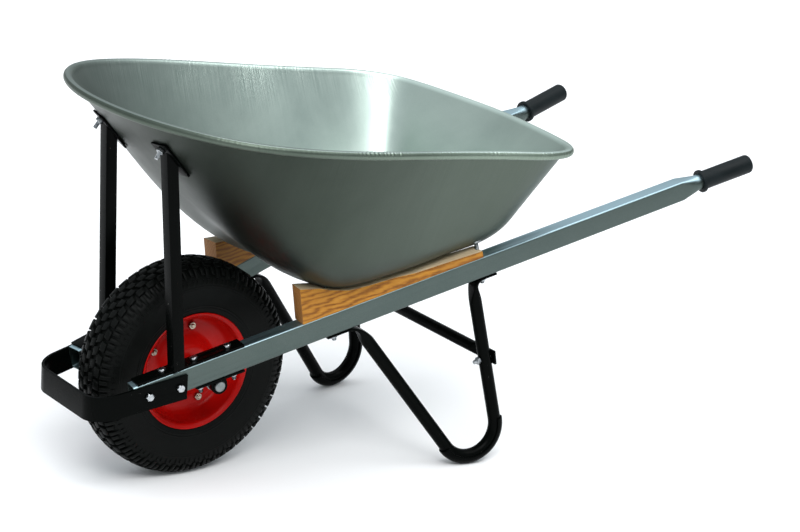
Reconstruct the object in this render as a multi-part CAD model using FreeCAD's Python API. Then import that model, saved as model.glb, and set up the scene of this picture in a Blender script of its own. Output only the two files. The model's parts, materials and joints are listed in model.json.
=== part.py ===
"""Builder's wheelbarrow, millimetres.

Built in a frame centred on the wheel: x forwards, y to the left, z up, ground at z = 0 and the axle above
the origin. place() moves every piece so that the finished barrow's middle lies over the origin.
Left-hand pieces are modelled and mirrored across y = 0.
"""
import FreeCAD, Part
import math
import os

from FreeCAD import Vector as V

# ---------------------------------------------------------------- driving dimensions
MIDDLE_X = -417.5            # middle of the overall length, measured from the axle

WHEEL_R = 200.0
TYRE_HALF_WIDTH = 50.0
TYRE_WALL = 6.0
BEAD_SEAT_R = 101.0
RIM_FLANGE_R = 109.0
RIM_SHEET = 2.5
RIM_HALF_WIDTH = 45.0
RIM_BOLT_CIRCLE_R = 74.0
RIM_BOLT_COUNT = 5
RIM_BOLT_FIRST_DEG = 28.0
VALVE_DEG = 66.0
HUB_R = 23.0
HUB_BORE_R = 20.0
HUB_HALF_LENGTH = 44.0
BEARING_WIDTH = 12.0
AXLE_R = 10.0
AXLE_HALF_LENGTH = 130.0
AXLE_RUNNING_GAP = 0.05
SPACER_R = 14.0
SPACER_GAP = 0.5

RAIL_FRONT = V(170.0, 116.5, 221.0)      # outer top edge of the left rail at its front end
RAIL_RISE_DEG = 14.8
RAIL_SPLAY_DEG = 8.4
RAIL_WIDTH = 32.0
RAIL_DEPTH = 43.5
RAIL_TAPER = 0.0051                      # loss of depth per mm of length
RAIL_WALL = 2.0
RAIL_CORNER_R = 4.0
RAIL_BOX_END = 1134.0
RAIL_ROUND_START = 1172.0
RAIL_END = 1283.0
HANDLE_R = 15.0

GRIP_START = 1180.0
GRIP_END = 1294.0
GRIP_R = 18.0
GRIP_FLANGE_R = 22.0
GRIP_FLANGE_LENGTH = 6.0
GRIP_NOSE_R = 7.0

TRAY_SHEET = 1.5
RIM_PLANE_Z = 680.4          # height of the rim plane above the axle line
RIM_PLANE_SLOPE = 0.122      # the rim drops towards the handles
FLOOR_PLANE_Z = 313.6        # height of the floor plane above the axle line
FLOOR_PLANE_SLOPE = -0.181   # the floor rises towards the handles
# Half outlines in plan from the front middle, round the left side, to the rear middle. Point i of the
# mouth stands above point i of the floor, whose outline is where floor and wall would meet if sharp.
MOUTH_OUTLINE = ((183, 0), (156, 152), (64, 280), (-76, 326), (-290, 319), (-480, 311), (-575, 303),
                 (-627, 270), (-652, 205), (-668, 100), (-675, 0))
FLOOR_OUTLINE = ((-137.5, 0), (-126, 79), (-160, 174), (-219, 206.5), (-365, 200), (-470, 195), (-530, 189),
                 (-560, 164), (-570, 110), (-575, 55), (-578, 0))
SIDE_TANGENT = 61.3          # reach of the floor-to-wall round along floor and wall, at sides and rear
FRONT_FLOOR_TANGENT = 152.0  # at the front the wall runs into the floor in one long sweep
FRONT_WALL_TANGENT = 316.6
BEAD_R = 7.5
BEAD_CENTRE = 6.4            # distance of the bead's centre outside the wall
RIM_WIRE_R = 4.5
RIM_CHANNEL_R = 5.2          # closed channel inside the rolled rim, for the wire
BEAD_JOIN_STATION = 1.96     # height up the wall where the outside turns into the rolled rim
BEAD_FIRST_DEG = -130
BEAD_LAST_DEG = 150
BEAD_STEP_DEG = 25
ROUND_STEPS = 8              # flats that make up the round between floor and wall
LID_RISE = 20.0              # how far the solid that fills the tray stands out of its mouth

WEDGE_START = 330.0
WEDGE_END = 700.0
WEDGE_WIDTH = 34.0
WEDGE_HEIGHT = 67.0
# Top of the wedge as (along the rail, above it), straight across and just under the tray.
WEDGE_TOP = ((337, 67), (373, 56), (394, 45), (428, 32), (471, 27), (518, 24), (564, 18), (640, 15), (700, 12))

STAY_FOOT = V(88.3, 120.5, 250.0)       # middle of the upright near the foot plate
STAY_TOP_Y = 102.5
STAY_TOP_Z = 628.0
STAY_TUBE = 22.0
STAY_TUBE_WALL = 2.0
STAY_PLATE = 4.0
STAY_FOOT_START = 8.0
STAY_FOOT_END = 214.0
STAY_TOP_PLATE = (78.0, 40.0)
STAY_TOP_PLATE_ABOVE = 0.42              # share of the top plate's length above the stay's centre
STAY_FOOT_BOLTS = (62.0, 123.0, 188.0)
STAY_TOP_BOLT_UP = 20.0      # distance of the top bolt above the stay's centre, along the plate

GUARD_REAR_X = 72.0
GUARD_FRONT_X = 238.0
GUARD_HEIGHT = 45.0
GUARD_SHEET = 5.0
GUARD_CORNER_R = 46.0
GUARD_REAR_TOP_Z = 237.0
GUARD_DROP_DEG = 10.5
GUARD_BOLTS = ((23.0, -24.0), (81.0, -29.0))     # along the rail, above the rail's top edge

BRACKET_HALF_LENGTH = 47.0
BRACKET_SHEET = 4.0
BRACKET_LUG_R = 15.0
BRACKET_LATERAL = (15.0, 31.0)

LEG_R = 12.0
LEG_WALL = 2.0
LEG_BEND_R = 56.0
LEG_GROUND = (-491.0, 224.5)
LEG_TAB = 5.0
LEG_FRONT_TAB = (372.0, 424.0)
LEG_REAR_TAB = (682.0, 722.0)
LEG_FRONT_NECK = (442.0, 22.0)           # along the rail and below it, where the front tube is round
LEG_REAR_NECK = (676.0, 24.0)
LEG_BOLTS = (388.0, 698.0)
SHOE_R = 15.0

BRACE_R = 11.0
BRACE_Z = 200.0
BRACE_TAB = 4.0
BRACE_TAB_WIDTH = 27.0

M8_R = 4.0
M8_FLATS = 13.0
M8_HEAD = 5.5
M8_NUT = 6.5
HOLE_GAP = 0.3
DOME_R = 14.0                # sphere that a domed bolt head is part of
DOME_SINK = 8.0              # depth of the sphere's centre under the head's seat
TOUCH_GAP = 0.2
LONG = 400.0                 # longer than any cut or sight line needs to be


# ---------------------------------------------------------------- helpers
def place(shape):
    """Move a finished piece from the wheel-centred frame to the barrow's own frame."""
    return shape.translated(V(-MIDDLE_X, 0, 0))


def mirrored(shape):
    return shape.mirror(V(0, 0, 0), V(0, 1, 0))


def in_frame(shape, origin, x_axis, y_axis, z_axis):
    """Carry a shape drawn on x, y, z into the frame given by an origin and three unit vectors."""
    matrix = FreeCAD.Matrix(
        x_axis.x, y_axis.x, z_axis.x, origin.x,
        x_axis.y, y_axis.y, z_axis.y, origin.y,
        x_axis.z, y_axis.z, z_axis.z, origin.z,
        0, 0, 0, 1)
    moved = shape.copy()
    moved.Placement = FreeCAD.Placement(matrix).multiply(shape.Placement)
    return moved


def point_in_frame(local, origin, x_axis, y_axis, z_axis):
    return origin + x_axis * local.x + y_axis * local.y + z_axis * local.z


def box(low, high):
    """Box from its lowest corner to its highest corner."""
    size = high - low
    return Part.makeBox(size.x, size.y, size.z, low)


def fused(shapes):
    """One solid from overlapping shapes."""
    result = shapes[0].multiFuse(shapes[1:]).removeSplitter()
    return result.Solids[0]


def hexagon_prism(across_flats, height, base, axis):
    """Hexagonal prism that starts at base and rises along axis."""
    radius = across_flats / math.sqrt(3)
    side_a, side_b = across(axis)
    points = []
    for i in range(7):
        angle = math.radians(60 * i)
        points.append(base + side_a * (radius * math.cos(angle)) + side_b * (radius * math.sin(angle)))
    return Part.Face(Part.makePolygon(points)).extrude(axis * height)


def across(axis):
    """Two unit vectors at right angles to axis and to each other."""
    helper = V(0, 1, 0) if abs(axis.y) < 0.9 else V(1, 0, 0)
    side_a = axis.cross(helper).normalize()
    side_b = axis.cross(side_a).normalize()
    return side_a, side_b


def rod(start, end, radius):
    axis = end - start
    return Part.makeCylinder(radius, axis.Length, start, axis)


def tube(start, end, outer, inner):
    return rod(start, end, outer).cut(rod(start, end, inner))


def hex_bolt(seat, axis, length):
    """Bolt whose head stands on seat; the shank runs length along axis."""
    head = hexagon_prism(M8_FLATS, M8_HEAD, seat, axis * -1)
    return fused([head, rod(seat - axis, seat + axis * length, M8_R)])


def hex_nut(seat, axis):
    """Nut that starts at seat and rises along axis, with its thread hole."""
    body = hexagon_prism(M8_FLATS, M8_NUT, seat, axis)
    return body.cut(rod(seat - axis, seat + axis * (M8_NUT + 1), M8_R + 0.02))


def section(width, depth, corner, round_r=None):
    """Closed eight-edge outline about the origin in the YZ plane: a rounded box, or a circle split alike."""
    if round_r is None:
        y, z = width / 2, depth / 2
        flats = [(y - corner, z), (y, z - corner), (y, corner - z), (y - corner, -z),
                 (corner - y, -z), (-y, corner - z), (-y, z - corner), (corner - y, z)]
        centres = [(y - corner, z - corner), (y - corner, corner - z),
                   (corner - y, corner - z), (corner - y, z - corner)]
        radius = corner
    else:
        angles = [60, 30, -30, -60, -120, -150, 150, 120]
        flats = [(round_r * math.cos(math.radians(a)), round_r * math.sin(math.radians(a))) for a in angles]
        centres = [(0, 0)] * 4
        radius = round_r
    edges = []
    for i in range(4):
        start, end = flats[2 * i], flats[2 * i + 1]
        after = flats[(2 * i + 2) % 8]
        edges.append(arc_about(centres[i], radius, start, end))
        if round_r is None:
            edges.append(Part.makeLine(V(0, *end), V(0, *after)))
        else:
            edges.append(arc_about(centres[i], radius, end, after))
    return Part.Wire(edges)


def arc_about(centre, radius, start, end):
    """Short arc from start to end about centre, in the YZ plane."""
    middle = V(0, start[0] + end[0] - 2 * centre[0], start[1] + end[1] - 2 * centre[1]).normalize() * radius
    through = V(0, centre[0], centre[1]) + middle
    return Part.Arc(V(0, *start), through, V(0, *end)).toShape()


# ---------------------------------------------------------------- rail frame
rise = math.radians(RAIL_RISE_DEG)
splay = math.radians(RAIL_SPLAY_DEG)
ALONG = V(-math.cos(rise) * math.cos(splay), math.cos(rise) * math.sin(splay), math.sin(rise))
INWARD = V(-math.sin(splay), -math.cos(splay), 0)
ABOVE = ALONG.cross(INWARD)
RAIL_FRAME = (RAIL_FRONT, ALONG, INWARD, ABOVE)
RAIL_MIDDLE = RAIL_WIDTH / 2


def rail_depth(along):
    return RAIL_DEPTH - RAIL_TAPER * along


def on_rail(along, inward, above):
    """Point given by its distances along, across and above the rail's outer top edge."""
    return point_in_frame(V(along, inward, above), *RAIL_FRAME)


def rail_section(along, wall):
    """Outline of the rail, shrunk by wall, at a distance along it."""
    if along <= RAIL_BOX_END:
        depth = rail_depth(along)
        outline = section(RAIL_WIDTH - 2 * wall, depth - 2 * wall, RAIL_CORNER_R - wall / 2)
    else:
        depth = rail_depth(RAIL_BOX_END)
        outline = section(0, 0, 0, HANDLE_R - wall)
    return outline.translated(V(along, RAIL_MIDDLE, -depth / 2))


def rail_solid(wall):
    """Box stretch, changing stretch and round stretch of the rail."""
    stations = (0.0, RAIL_BOX_END, RAIL_ROUND_START, RAIL_END)
    runs = []
    for start, end in zip(stations, stations[1:]):
        runs.append(Part.makeLoft([rail_section(start, wall), rail_section(end, wall)], True, True))
    return fused(runs)


def handle_rail(holes):
    drawn = rail_solid(0).cut(rail_solid(RAIL_WALL))
    return in_frame(drawn, *RAIL_FRAME).cut(holes).Solids[0]


def grip():
    """Rubber sleeve with a flange at its inner end and a rounded closed outer end."""
    profile_points = [
        V(GRIP_START, HANDLE_R + TOUCH_GAP, 0),
        V(GRIP_START, GRIP_FLANGE_R, 0),
        V(GRIP_START + GRIP_FLANGE_LENGTH, GRIP_FLANGE_R, 0),
        V(GRIP_START + GRIP_FLANGE_LENGTH, GRIP_R, 0),
        V(GRIP_END - GRIP_NOSE_R, GRIP_R, 0),
    ]
    edges = [Part.makeLine(a, b) for a, b in zip(profile_points, profile_points[1:])]
    nose_end = V(GRIP_END, GRIP_R - GRIP_NOSE_R, 0)
    nose_middle = V(GRIP_END - GRIP_NOSE_R * (1 - math.sqrt(0.5)), GRIP_R - GRIP_NOSE_R * (1 - math.sqrt(0.5)), 0)
    edges.append(Part.Arc(profile_points[-1], nose_middle, nose_end).toShape())
    inner_points = [nose_end, V(GRIP_END, 0, 0), V(RAIL_END + TOUCH_GAP, 0, 0),
                    V(RAIL_END + TOUCH_GAP, HANDLE_R + TOUCH_GAP, 0), profile_points[0]]
    edges += [Part.makeLine(a, b) for a, b in zip(inner_points, inner_points[1:])]
    body = Part.Face(Part.Wire(edges)).revolve(V(0, 0, 0), V(1, 0, 0), 360)
    axis_height = -rail_depth(RAIL_BOX_END) / 2
    return in_frame(body.translated(V(0, RAIL_MIDDLE, axis_height)), *RAIL_FRAME)


# ---------------------------------------------------------------- tray
def full_outline(half, height, slope):
    """Points of a closed outline from its left half, on the plane z = height + slope * x."""
    around = list(half) + [(x, -y) for x, y in half[-2:0:-1]]
    return [V(x, y, height + slope * x) for x, y in around]


MOUTH = full_outline(MOUTH_OUTLINE, RIM_PLANE_Z, RIM_PLANE_SLOPE)
FLOOR = full_outline(FLOOR_OUTLINE, FLOOR_PLANE_Z, FLOOR_PLANE_SLOPE)
FLOOR_MIDDLE = (FLOOR[0] + FLOOR[len(FLOOR) // 2]) * 0.5
RIM_NORMAL = V(-RIM_PLANE_SLOPE, 0, 1).normalize()
WALL_STATIONS = [step / ROUND_STEPS for step in range(ROUND_STEPS + 1)] + [2.0]


def wall_ends(i):
    """Ends of the round between floor and wall at outline point i."""
    corner, top = FLOOR[i], MOUTH[i]
    out = corner - FLOOR_MIDDLE
    forward = max(0.0, out.x / math.hypot(out.x, out.y)) ** 2
    along_floor = SIDE_TANGENT + (FRONT_FLOOR_TANGENT - SIDE_TANGENT) * forward
    along_wall = SIDE_TANGENT + (FRONT_WALL_TANGENT - SIDE_TANGENT) * forward
    floor_end = corner + (FLOOR_MIDDLE - corner).normalize() * along_floor
    wall_end = corner + (top - corner).normalize() * along_wall
    return floor_end, wall_end


def wall_point(i, station):
    """Point of the tray's outside. Stations 0 to 1 go round the floor's edge, 1 to 2 up the wall."""
    floor_end, wall_end = wall_ends(i)
    if station <= 1:
        a, b, c = (1 - station) ** 2, 2 * station * (1 - station), station ** 2
        return floor_end * a + FLOOR[i] * b + wall_end * c
    return wall_end + (MOUTH[i] - wall_end) * (station - 1)


def wall_normal(i, station):
    """Unit normal of the tray's outside at outline point i, pointing out."""
    floor_end, wall_end = wall_ends(i)
    if station < 1:
        up = (FLOOR[i] - floor_end) * (1 - station) + (wall_end - FLOOR[i]) * station
    else:
        up = MOUTH[i] - wall_end
    count = len(MOUTH)
    around = wall_point((i + 1) % count, station) - wall_point((i - 1) % count, station)
    return around.cross(up).normalize()


def rim_lengths():
    """Distance from the front middle, round the left side of the mouth, to each of its points."""
    half = MOUTH[:len(MOUTH_OUTLINE)]
    lengths = [0.0]
    for here, after in zip(half, half[1:]):
        lengths.append(lengths[-1] + (after - here).Length)
    return lengths


RING_PARAMETERS = rim_lengths()


def ring(points):
    """Closed wire of two mirror-image curves through points, with the same parameters in every ring."""
    left = Part.BSplineCurve()
    left.interpolate(Points=points[:len(MOUTH_OUTLINE)], Parameters=RING_PARAMETERS,
                     InitialTangent=V(0, 1, 0), FinalTangent=V(0, -1, 0))
    poles = [V(pole.x, -pole.y, pole.z) for pole in reversed(left.getPoles())]
    knots = [RING_PARAMETERS[-1] - knot for knot in reversed(left.getKnots())]
    right = Part.BSplineCurve()
    right.buildFromPolesMultsKnots(poles, left.getMultiplicities()[::-1], knots, False, left.Degree)
    return Part.Wire([left.toShape(), right.toShape()])


def wall_ring(station, inset):
    """Ring round the tray at one station, moved in from the outside by inset."""
    points = []
    for i in range(len(MOUTH)):
        points.append(wall_point(i, station) - wall_normal(i, station) * inset)
    return ring(points)


def bead_outward(i):
    """Unit direction out of the tray in the rim plane at outline point i."""
    count = len(MOUTH)
    around = MOUTH[(i + 1) % count] - MOUTH[(i - 1) % count]
    return around.cross(RIM_NORMAL).normalize()


def bead_ring(angle_deg, radius):
    """Ring on the rolled rim's surface, at an angle measured from straight out towards up."""
    angle = math.radians(angle_deg)
    points = []
    for i in range(len(MOUTH)):
        out = bead_outward(i)
        centre = MOUTH[i] + out * BEAD_CENTRE
        points.append(centre + out * (radius * math.cos(angle)) + RIM_NORMAL * (radius * math.sin(angle)))
    return ring(points)


def lofted(rings):
    return Part.makeLoft(rings, True, True)


def tray_outside():
    return lofted([wall_ring(station, 0.0) for station in WALL_STATIONS])


def tray_inside():
    """Solid that fills the tray's hollow and stands out of its mouth."""
    rings = [wall_ring(station, TRAY_SHEET) for station in WALL_STATIONS]
    lid = []
    for i in range(len(MOUTH)):
        edge = wall_point(i, 2.0) - wall_normal(i, 2.0) * TRAY_SHEET
        lid.append(edge + RIM_NORMAL * (LID_RISE - (edge - MOUTH[0]).dot(RIM_NORMAL)))
    return lofted(rings + [ring(lid)])


def rim_core(radius):
    """Closed round bar along the rolled rim's centre line."""
    path = bead_ring(0, 0.0)
    front = path.Edges[0]
    circle = Part.Wire(Part.makeCircle(radius, front.valueAt(front.FirstParameter), V(0, 1, 0)))
    return path.makePipeShell([circle], True, False)


def tray(holes):
    """Sheet from the outside of the floor, up the wall, over the rolled rim and down the inside.

    The rolled rim is hollow, with a closed channel for the rim wire.
    """
    rings = [wall_ring(station, 0.0) for station in WALL_STATIONS[:-1]]
    rings.append(wall_ring(BEAD_JOIN_STATION, 0.0))
    for angle in range(BEAD_FIRST_DEG, BEAD_LAST_DEG + 1, BEAD_STEP_DEG):
        rings.append(bead_ring(angle, BEAD_R))
    rings.append(wall_ring(2.0, TRAY_SHEET))
    rings += [wall_ring(station, TRAY_SHEET) for station in reversed(WALL_STATIONS[:-1])]
    sheet = lofted(rings).cut(holes).Solids[0]
    channel = rim_core(RIM_CHANNEL_R)
    return Part.makeSolid(Part.makeCompound([sheet.Shells[0], channel.Shells[0].reversed()]))


# ---------------------------------------------------------------- wedges, stays, guard
def wedge(outside, holes):
    """Timber block on the rail, cut to the tray's underside."""
    top = [V(along, 0, above) for along, above in WEDGE_TOP]
    side = [V(WEDGE_START, 0, 0)] + top + [V(WEDGE_END, 0, 0), V(WEDGE_START, 0, 0)]
    block = Part.Face(Part.makePolygon(side)).extrude(V(0, WEDGE_WIDTH, 0))
    cut = in_frame(block, *RAIL_FRAME).cut(outside).cut(holes)
    pieces = sorted(cut.Solids, key=lambda solid: solid.Volume)
    return pieces[-1]


def front_wall_point(outside, y, z):
    """Point of the tray's front wall at a given y and height."""
    crossing = Part.makeLine(V(RAIL_FRONT.x + LONG, y, z), V(FLOOR_MIDDLE.x, y, z)).common(outside)
    return max((vertex.Point for vertex in crossing.Vertexes), key=lambda point: point.x)


def stay_frame(outside):
    """Frame of the stay's top plate: origin on the tray, axes down the wall, sideways and outwards."""
    reach = 12.0
    centre = front_wall_point(outside, STAY_TOP_Y, STAY_TOP_Z)
    low = front_wall_point(outside, STAY_TOP_Y, STAY_TOP_Z - reach)
    high = front_wall_point(outside, STAY_TOP_Y, STAY_TOP_Z + reach)
    left = front_wall_point(outside, STAY_TOP_Y + reach, STAY_TOP_Z)
    right = front_wall_point(outside, STAY_TOP_Y - reach, STAY_TOP_Z)
    down = (low - high).normalize()
    out = (left - right).cross(high - low).normalize()
    if out.x < 0:
        out = out * -1
    return centre, down, out.cross(down).normalize(), out


TRAY_OUTSIDE = tray_outside()
STAY_TOP, STAY_DOWN, STAY_SIDE, STAY_OUT = stay_frame(TRAY_OUTSIDE)
STAY_FRAME = (STAY_TOP + STAY_OUT * TOUCH_GAP, STAY_DOWN, STAY_SIDE, STAY_OUT)


def stay(holes):
    """Square tube with a plate on the rail and a plate against the tray's front wall, welded as one."""
    length, width = STAY_TOP_PLATE
    above = length * STAY_TOP_PLATE_ABOVE
    top_plate = in_frame(box(V(-above, -width / 2, 0), V(length - above, width / 2, STAY_PLATE)), *STAY_FRAME)
    foot_plate = in_frame(box(V(STAY_FOOT_START, 0, 0), V(STAY_FOOT_END, RAIL_WIDTH, STAY_PLATE)), *RAIL_FRAME)
    upright = (STAY_TOP - STAY_FOOT).normalize()
    side = V(0, 1, 0)
    front = side.cross(upright).normalize()
    side = upright.cross(front).normalize()
    half = STAY_TUBE / 2
    bore = half - STAY_TUBE_WALL
    ends = 3 * STAY_TUBE
    reach = (STAY_TOP - STAY_FOOT).Length + ends
    drawn = box(V(-half, -half, -ends), V(half, half, reach)).cut(box(V(-bore, -bore, -ends), V(bore, bore, reach)))
    bar = in_frame(drawn, STAY_FOOT, front, side, upright)
    beyond = box(V(-LONG, -LONG, -LONG), V(LONG, LONG, STAY_PLATE / 2))
    bar = bar.cut(in_frame(beyond, *RAIL_FRAME)).cut(in_frame(beyond, *STAY_FRAME))
    return fused([bar, top_plate, foot_plate]).cut(holes).Solids[0]


def guard(holes):
    """Flat strap round the wheel's nose, drawn in plan and trimmed by its side view."""
    slope = math.tan(splay)
    rear_y = RAIL_FRONT.y + (RAIL_FRONT.x - GUARD_REAR_X) * slope
    corner_y = RAIL_FRONT.y + (RAIL_FRONT.x - GUARD_FRONT_X) * slope
    inner = [V(GUARD_REAR_X, rear_y, 0), V(GUARD_FRONT_X, corner_y, 0),
             V(GUARD_FRONT_X, -corner_y, 0), V(GUARD_REAR_X, -rear_y, 0)]
    outer = rounded_u(inner, GUARD_SHEET, GUARD_CORNER_R + GUARD_SHEET)
    inside = rounded_u(inner, 0, GUARD_CORNER_R)
    strap = outer.cut(inside)
    drop = math.tan(math.radians(GUARD_DROP_DEG))
    front_x = GUARD_FRONT_X + 2 * GUARD_SHEET
    rear_x = GUARD_REAR_X
    low_z = GUARD_REAR_TOP_Z - GUARD_HEIGHT
    fall = (front_x - rear_x) * drop
    side = [V(rear_x, 0, low_z), V(front_x, 0, low_z - fall), V(front_x, 0, low_z + GUARD_HEIGHT - fall),
            V(rear_x, 0, low_z + GUARD_HEIGHT), V(rear_x, 0, low_z)]
    slab = Part.Face(Part.makePolygon(side)).extrude(V(0, LONG, 0)).translated(V(0, -LONG / 2, 0))
    return strap.common(slab).cut(holes).Solids[0]


def rounded_u(inner, offset, radius):
    """Upright prism filling a U-shaped plan whose two front corners are rounded."""
    rear_left, front_left, front_right, rear_right = inner
    side = (rear_left - front_left).normalize()
    out = V(side.y, -side.x, 0)
    if out.y < 0:
        out = out * -1
    shift_left = out * offset
    shift_right = V(shift_left.x, -shift_left.y, 0)
    front = front_left.x + offset
    corner = V(front, (front_left + shift_left + side * ((front - (front_left + shift_left).x) / side.x)).y, 0)
    outline = [rear_left + shift_left, corner, V(corner.x, -corner.y, 0), rear_right + shift_right]
    wire = Part.makePolygon(outline + outline[:1])
    prism = Part.Face(wire).extrude(V(0, 0, LONG))
    upright_edges = [e for e in prism.Edges if e.Length > LONG - 1 and abs(e.Vertexes[0].X - front) < 0.01]
    return prism.makeFillet(radius, upright_edges)


# ---------------------------------------------------------------- axle and wheel
AXLE_CENTRE = V(0, 0, WHEEL_R)


def axle_bracket(holes):
    """Flanged saddle under the rail with a lug that the axle passes through."""
    centre_y = RAIL_FRONT.y + RAIL_FRONT.x * math.tan(splay) - RAIL_MIDDLE / math.cos(splay)
    offset = V(0, centre_y, WHEEL_R) - RAIL_FRONT
    along, above = offset.dot(ALONG), offset.dot(ABOVE)
    underside = -rail_depth(along)
    near, far = BRACKET_LATERAL
    flange = box(V(along - BRACKET_HALF_LENGTH, 0, underside - BRACKET_SHEET),
                 V(along + BRACKET_HALF_LENGTH, RAIL_WIDTH, underside))
    neck = box(V(along - BRACKET_LUG_R, near, above), V(along + BRACKET_LUG_R, far, underside - BRACKET_SHEET / 2))
    lug = Part.makeCylinder(BRACKET_LUG_R, far - near, V(along, near, above), V(0, 1, 0))
    body = in_frame(fused([flange, neck, lug]), *RAIL_FRAME)
    rail_below = in_frame(rail_solid(0), *RAIL_FRAME)
    bore = rod(V(0, 0, WHEEL_R), V(0, LONG, WHEEL_R), AXLE_R)
    return body.cut(rail_below).cut(bore).cut(holes).Solids[0]


def about_axle(profile):
    """Revolve a closed profile, given as edges in (y, radius), about the axle."""
    return Part.Face(Part.Wire(profile)).revolve(AXLE_CENTRE, V(0, 1, 0), 360)


def polyline(points):
    """Edges through (y, radius) points, closed."""
    corners = [V(0, y, WHEEL_R + r) for y, r in points]
    return [Part.makeLine(a, b) for a, b in zip(corners, corners[1:] + corners[:1])]


def ring_profile(half_width, outer, inner, belly):
    """Closed tyre-like outline: crowned tread, round shoulders, full sides and narrow feet."""
    points = [V(0, 0, WHEEL_R + outer), V(0, half_width * 0.62, WHEEL_R + outer - 3),
              V(0, half_width * 0.9, WHEEL_R + outer - 16), V(0, half_width, WHEEL_R + belly),
              V(0, half_width * 0.93, WHEEL_R + inner + 14), V(0, half_width * 0.78, WHEEL_R + inner)]
    left = Part.BSplineCurve()
    left.interpolate(points, InitialTangent=V(0, 1, 0), FinalTangent=V(0, -0.4, -1))
    right_points = [V(0, -p.y, p.z) for p in reversed(points)]
    right = Part.BSplineCurve()
    right.interpolate(right_points, InitialTangent=V(0, -0.4, 1), FinalTangent=V(0, 1, 0))
    foot = Part.makeLine(points[-1], right_points[0])
    return [right.toShape(), left.toShape(), foot]


def tyre():
    carcass = about_axle(ring_profile(TYRE_HALF_WIDTH, WHEEL_R, BEAD_SEAT_R + RIM_SHEET, 152.0))
    cavity = about_axle(ring_profile(TYRE_HALF_WIDTH - TYRE_WALL, WHEEL_R - 2 * TYRE_WALL,
                                     BEAD_SEAT_R + RIM_SHEET - 1, 150.0))
    return carcass.cut(cavity).cut(rim_envelope()).Solids[0]


def inner_tube():
    outer = about_axle(ring_profile(TYRE_HALF_WIDTH - TYRE_WALL - 0.5, WHEEL_R - 2 * TYRE_WALL - 0.5,
                                    BEAD_SEAT_R + 1, 150.0))
    outer = outer.cut(rim_envelope())
    hollow = about_axle(ring_profile(TYRE_HALF_WIDTH - TYRE_WALL - 3, WHEEL_R - 2 * TYRE_WALL - 3,
                                     BEAD_SEAT_R + 7, 150.0))
    return outer.cut(hollow).Solids[0]


RIM_PROFILE = (
    (24.0, HUB_R), (24.0, 42.0), (RIM_SHEET, 60.0), (RIM_SHEET, 86.0), (24.0, BEAD_SEAT_R - 2.0),
    (RIM_HALF_WIDTH - 5.0, BEAD_SEAT_R), (RIM_HALF_WIDTH - 3.0, BEAD_SEAT_R + 5.0),
    (RIM_HALF_WIDTH + 1.0, RIM_FLANGE_R),
)


def rim_half():
    """Left pressed rim half: a bolted flat, a dished centre, a bead seat and a turned-out flange."""
    face = [(y, r) for y, r in RIM_PROFILE]
    back = []
    for i, (y, r) in enumerate(RIM_PROFILE):
        before = RIM_PROFILE[max(i - 1, 0)]
        after = RIM_PROFILE[min(i + 1, len(RIM_PROFILE) - 1)]
        run_y, run_r = after[0] - before[0], after[1] - before[1]
        length = math.hypot(run_y, run_r)
        back.append((max(0.0, y - RIM_SHEET * run_r / length), r + RIM_SHEET * run_y / length))
    back[0] = (RIM_PROFILE[0][0] - RIM_SHEET, HUB_R)
    back[2] = (0.0, RIM_PROFILE[2][1])
    back[3] = (0.0, RIM_PROFILE[3][1])
    return about_axle(polyline(face + back[::-1]))


def rim_envelope():
    """Everything inside the outer surfaces of both rim halves, as one solid of revolution."""
    flange_back = (RIM_HALF_WIDTH - 3.5, RIM_FLANGE_R + 2)
    left = [(0.0, 70.0), (RIM_HALF_WIDTH + 3, 70.0), (RIM_HALF_WIDTH + 3, RIM_FLANGE_R + 2), flange_back,
            (RIM_HALF_WIDTH - 5.5, BEAD_SEAT_R + 5.5), (RIM_HALF_WIDTH - 7.5, BEAD_SEAT_R + RIM_SHEET + 0.3),
            (24.0, BEAD_SEAT_R + 1.0), (4.0, 88.0), (0.0, 88.0)]
    half = about_axle(polyline(left))
    return half.fuse(mirrored(half))


def wheel_hole(turn_deg, radius):
    """Cylinder through the bolted flats of the rim at a turn about the axle."""
    centre = rim_point(turn_deg, RIM_BOLT_CIRCLE_R, 0)
    return rod(centre + V(0, -20, 0), centre + V(0, 20, 0), radius)


def rim_point(turn_deg, radius, y):
    angle = math.radians(turn_deg)
    return AXLE_CENTRE + V(radius * math.cos(angle), y, radius * math.sin(angle))


RIM_BOLT_TURNS = [RIM_BOLT_FIRST_DEG + 360.0 / RIM_BOLT_COUNT * i for i in range(RIM_BOLT_COUNT)]
VALVE_INNER = rim_point(VALVE_DEG, 72.0, 26.0)
VALVE_FOOT = rim_point(VALVE_DEG, 108.0, 8.0)
VALVE_R = 4.0


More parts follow.
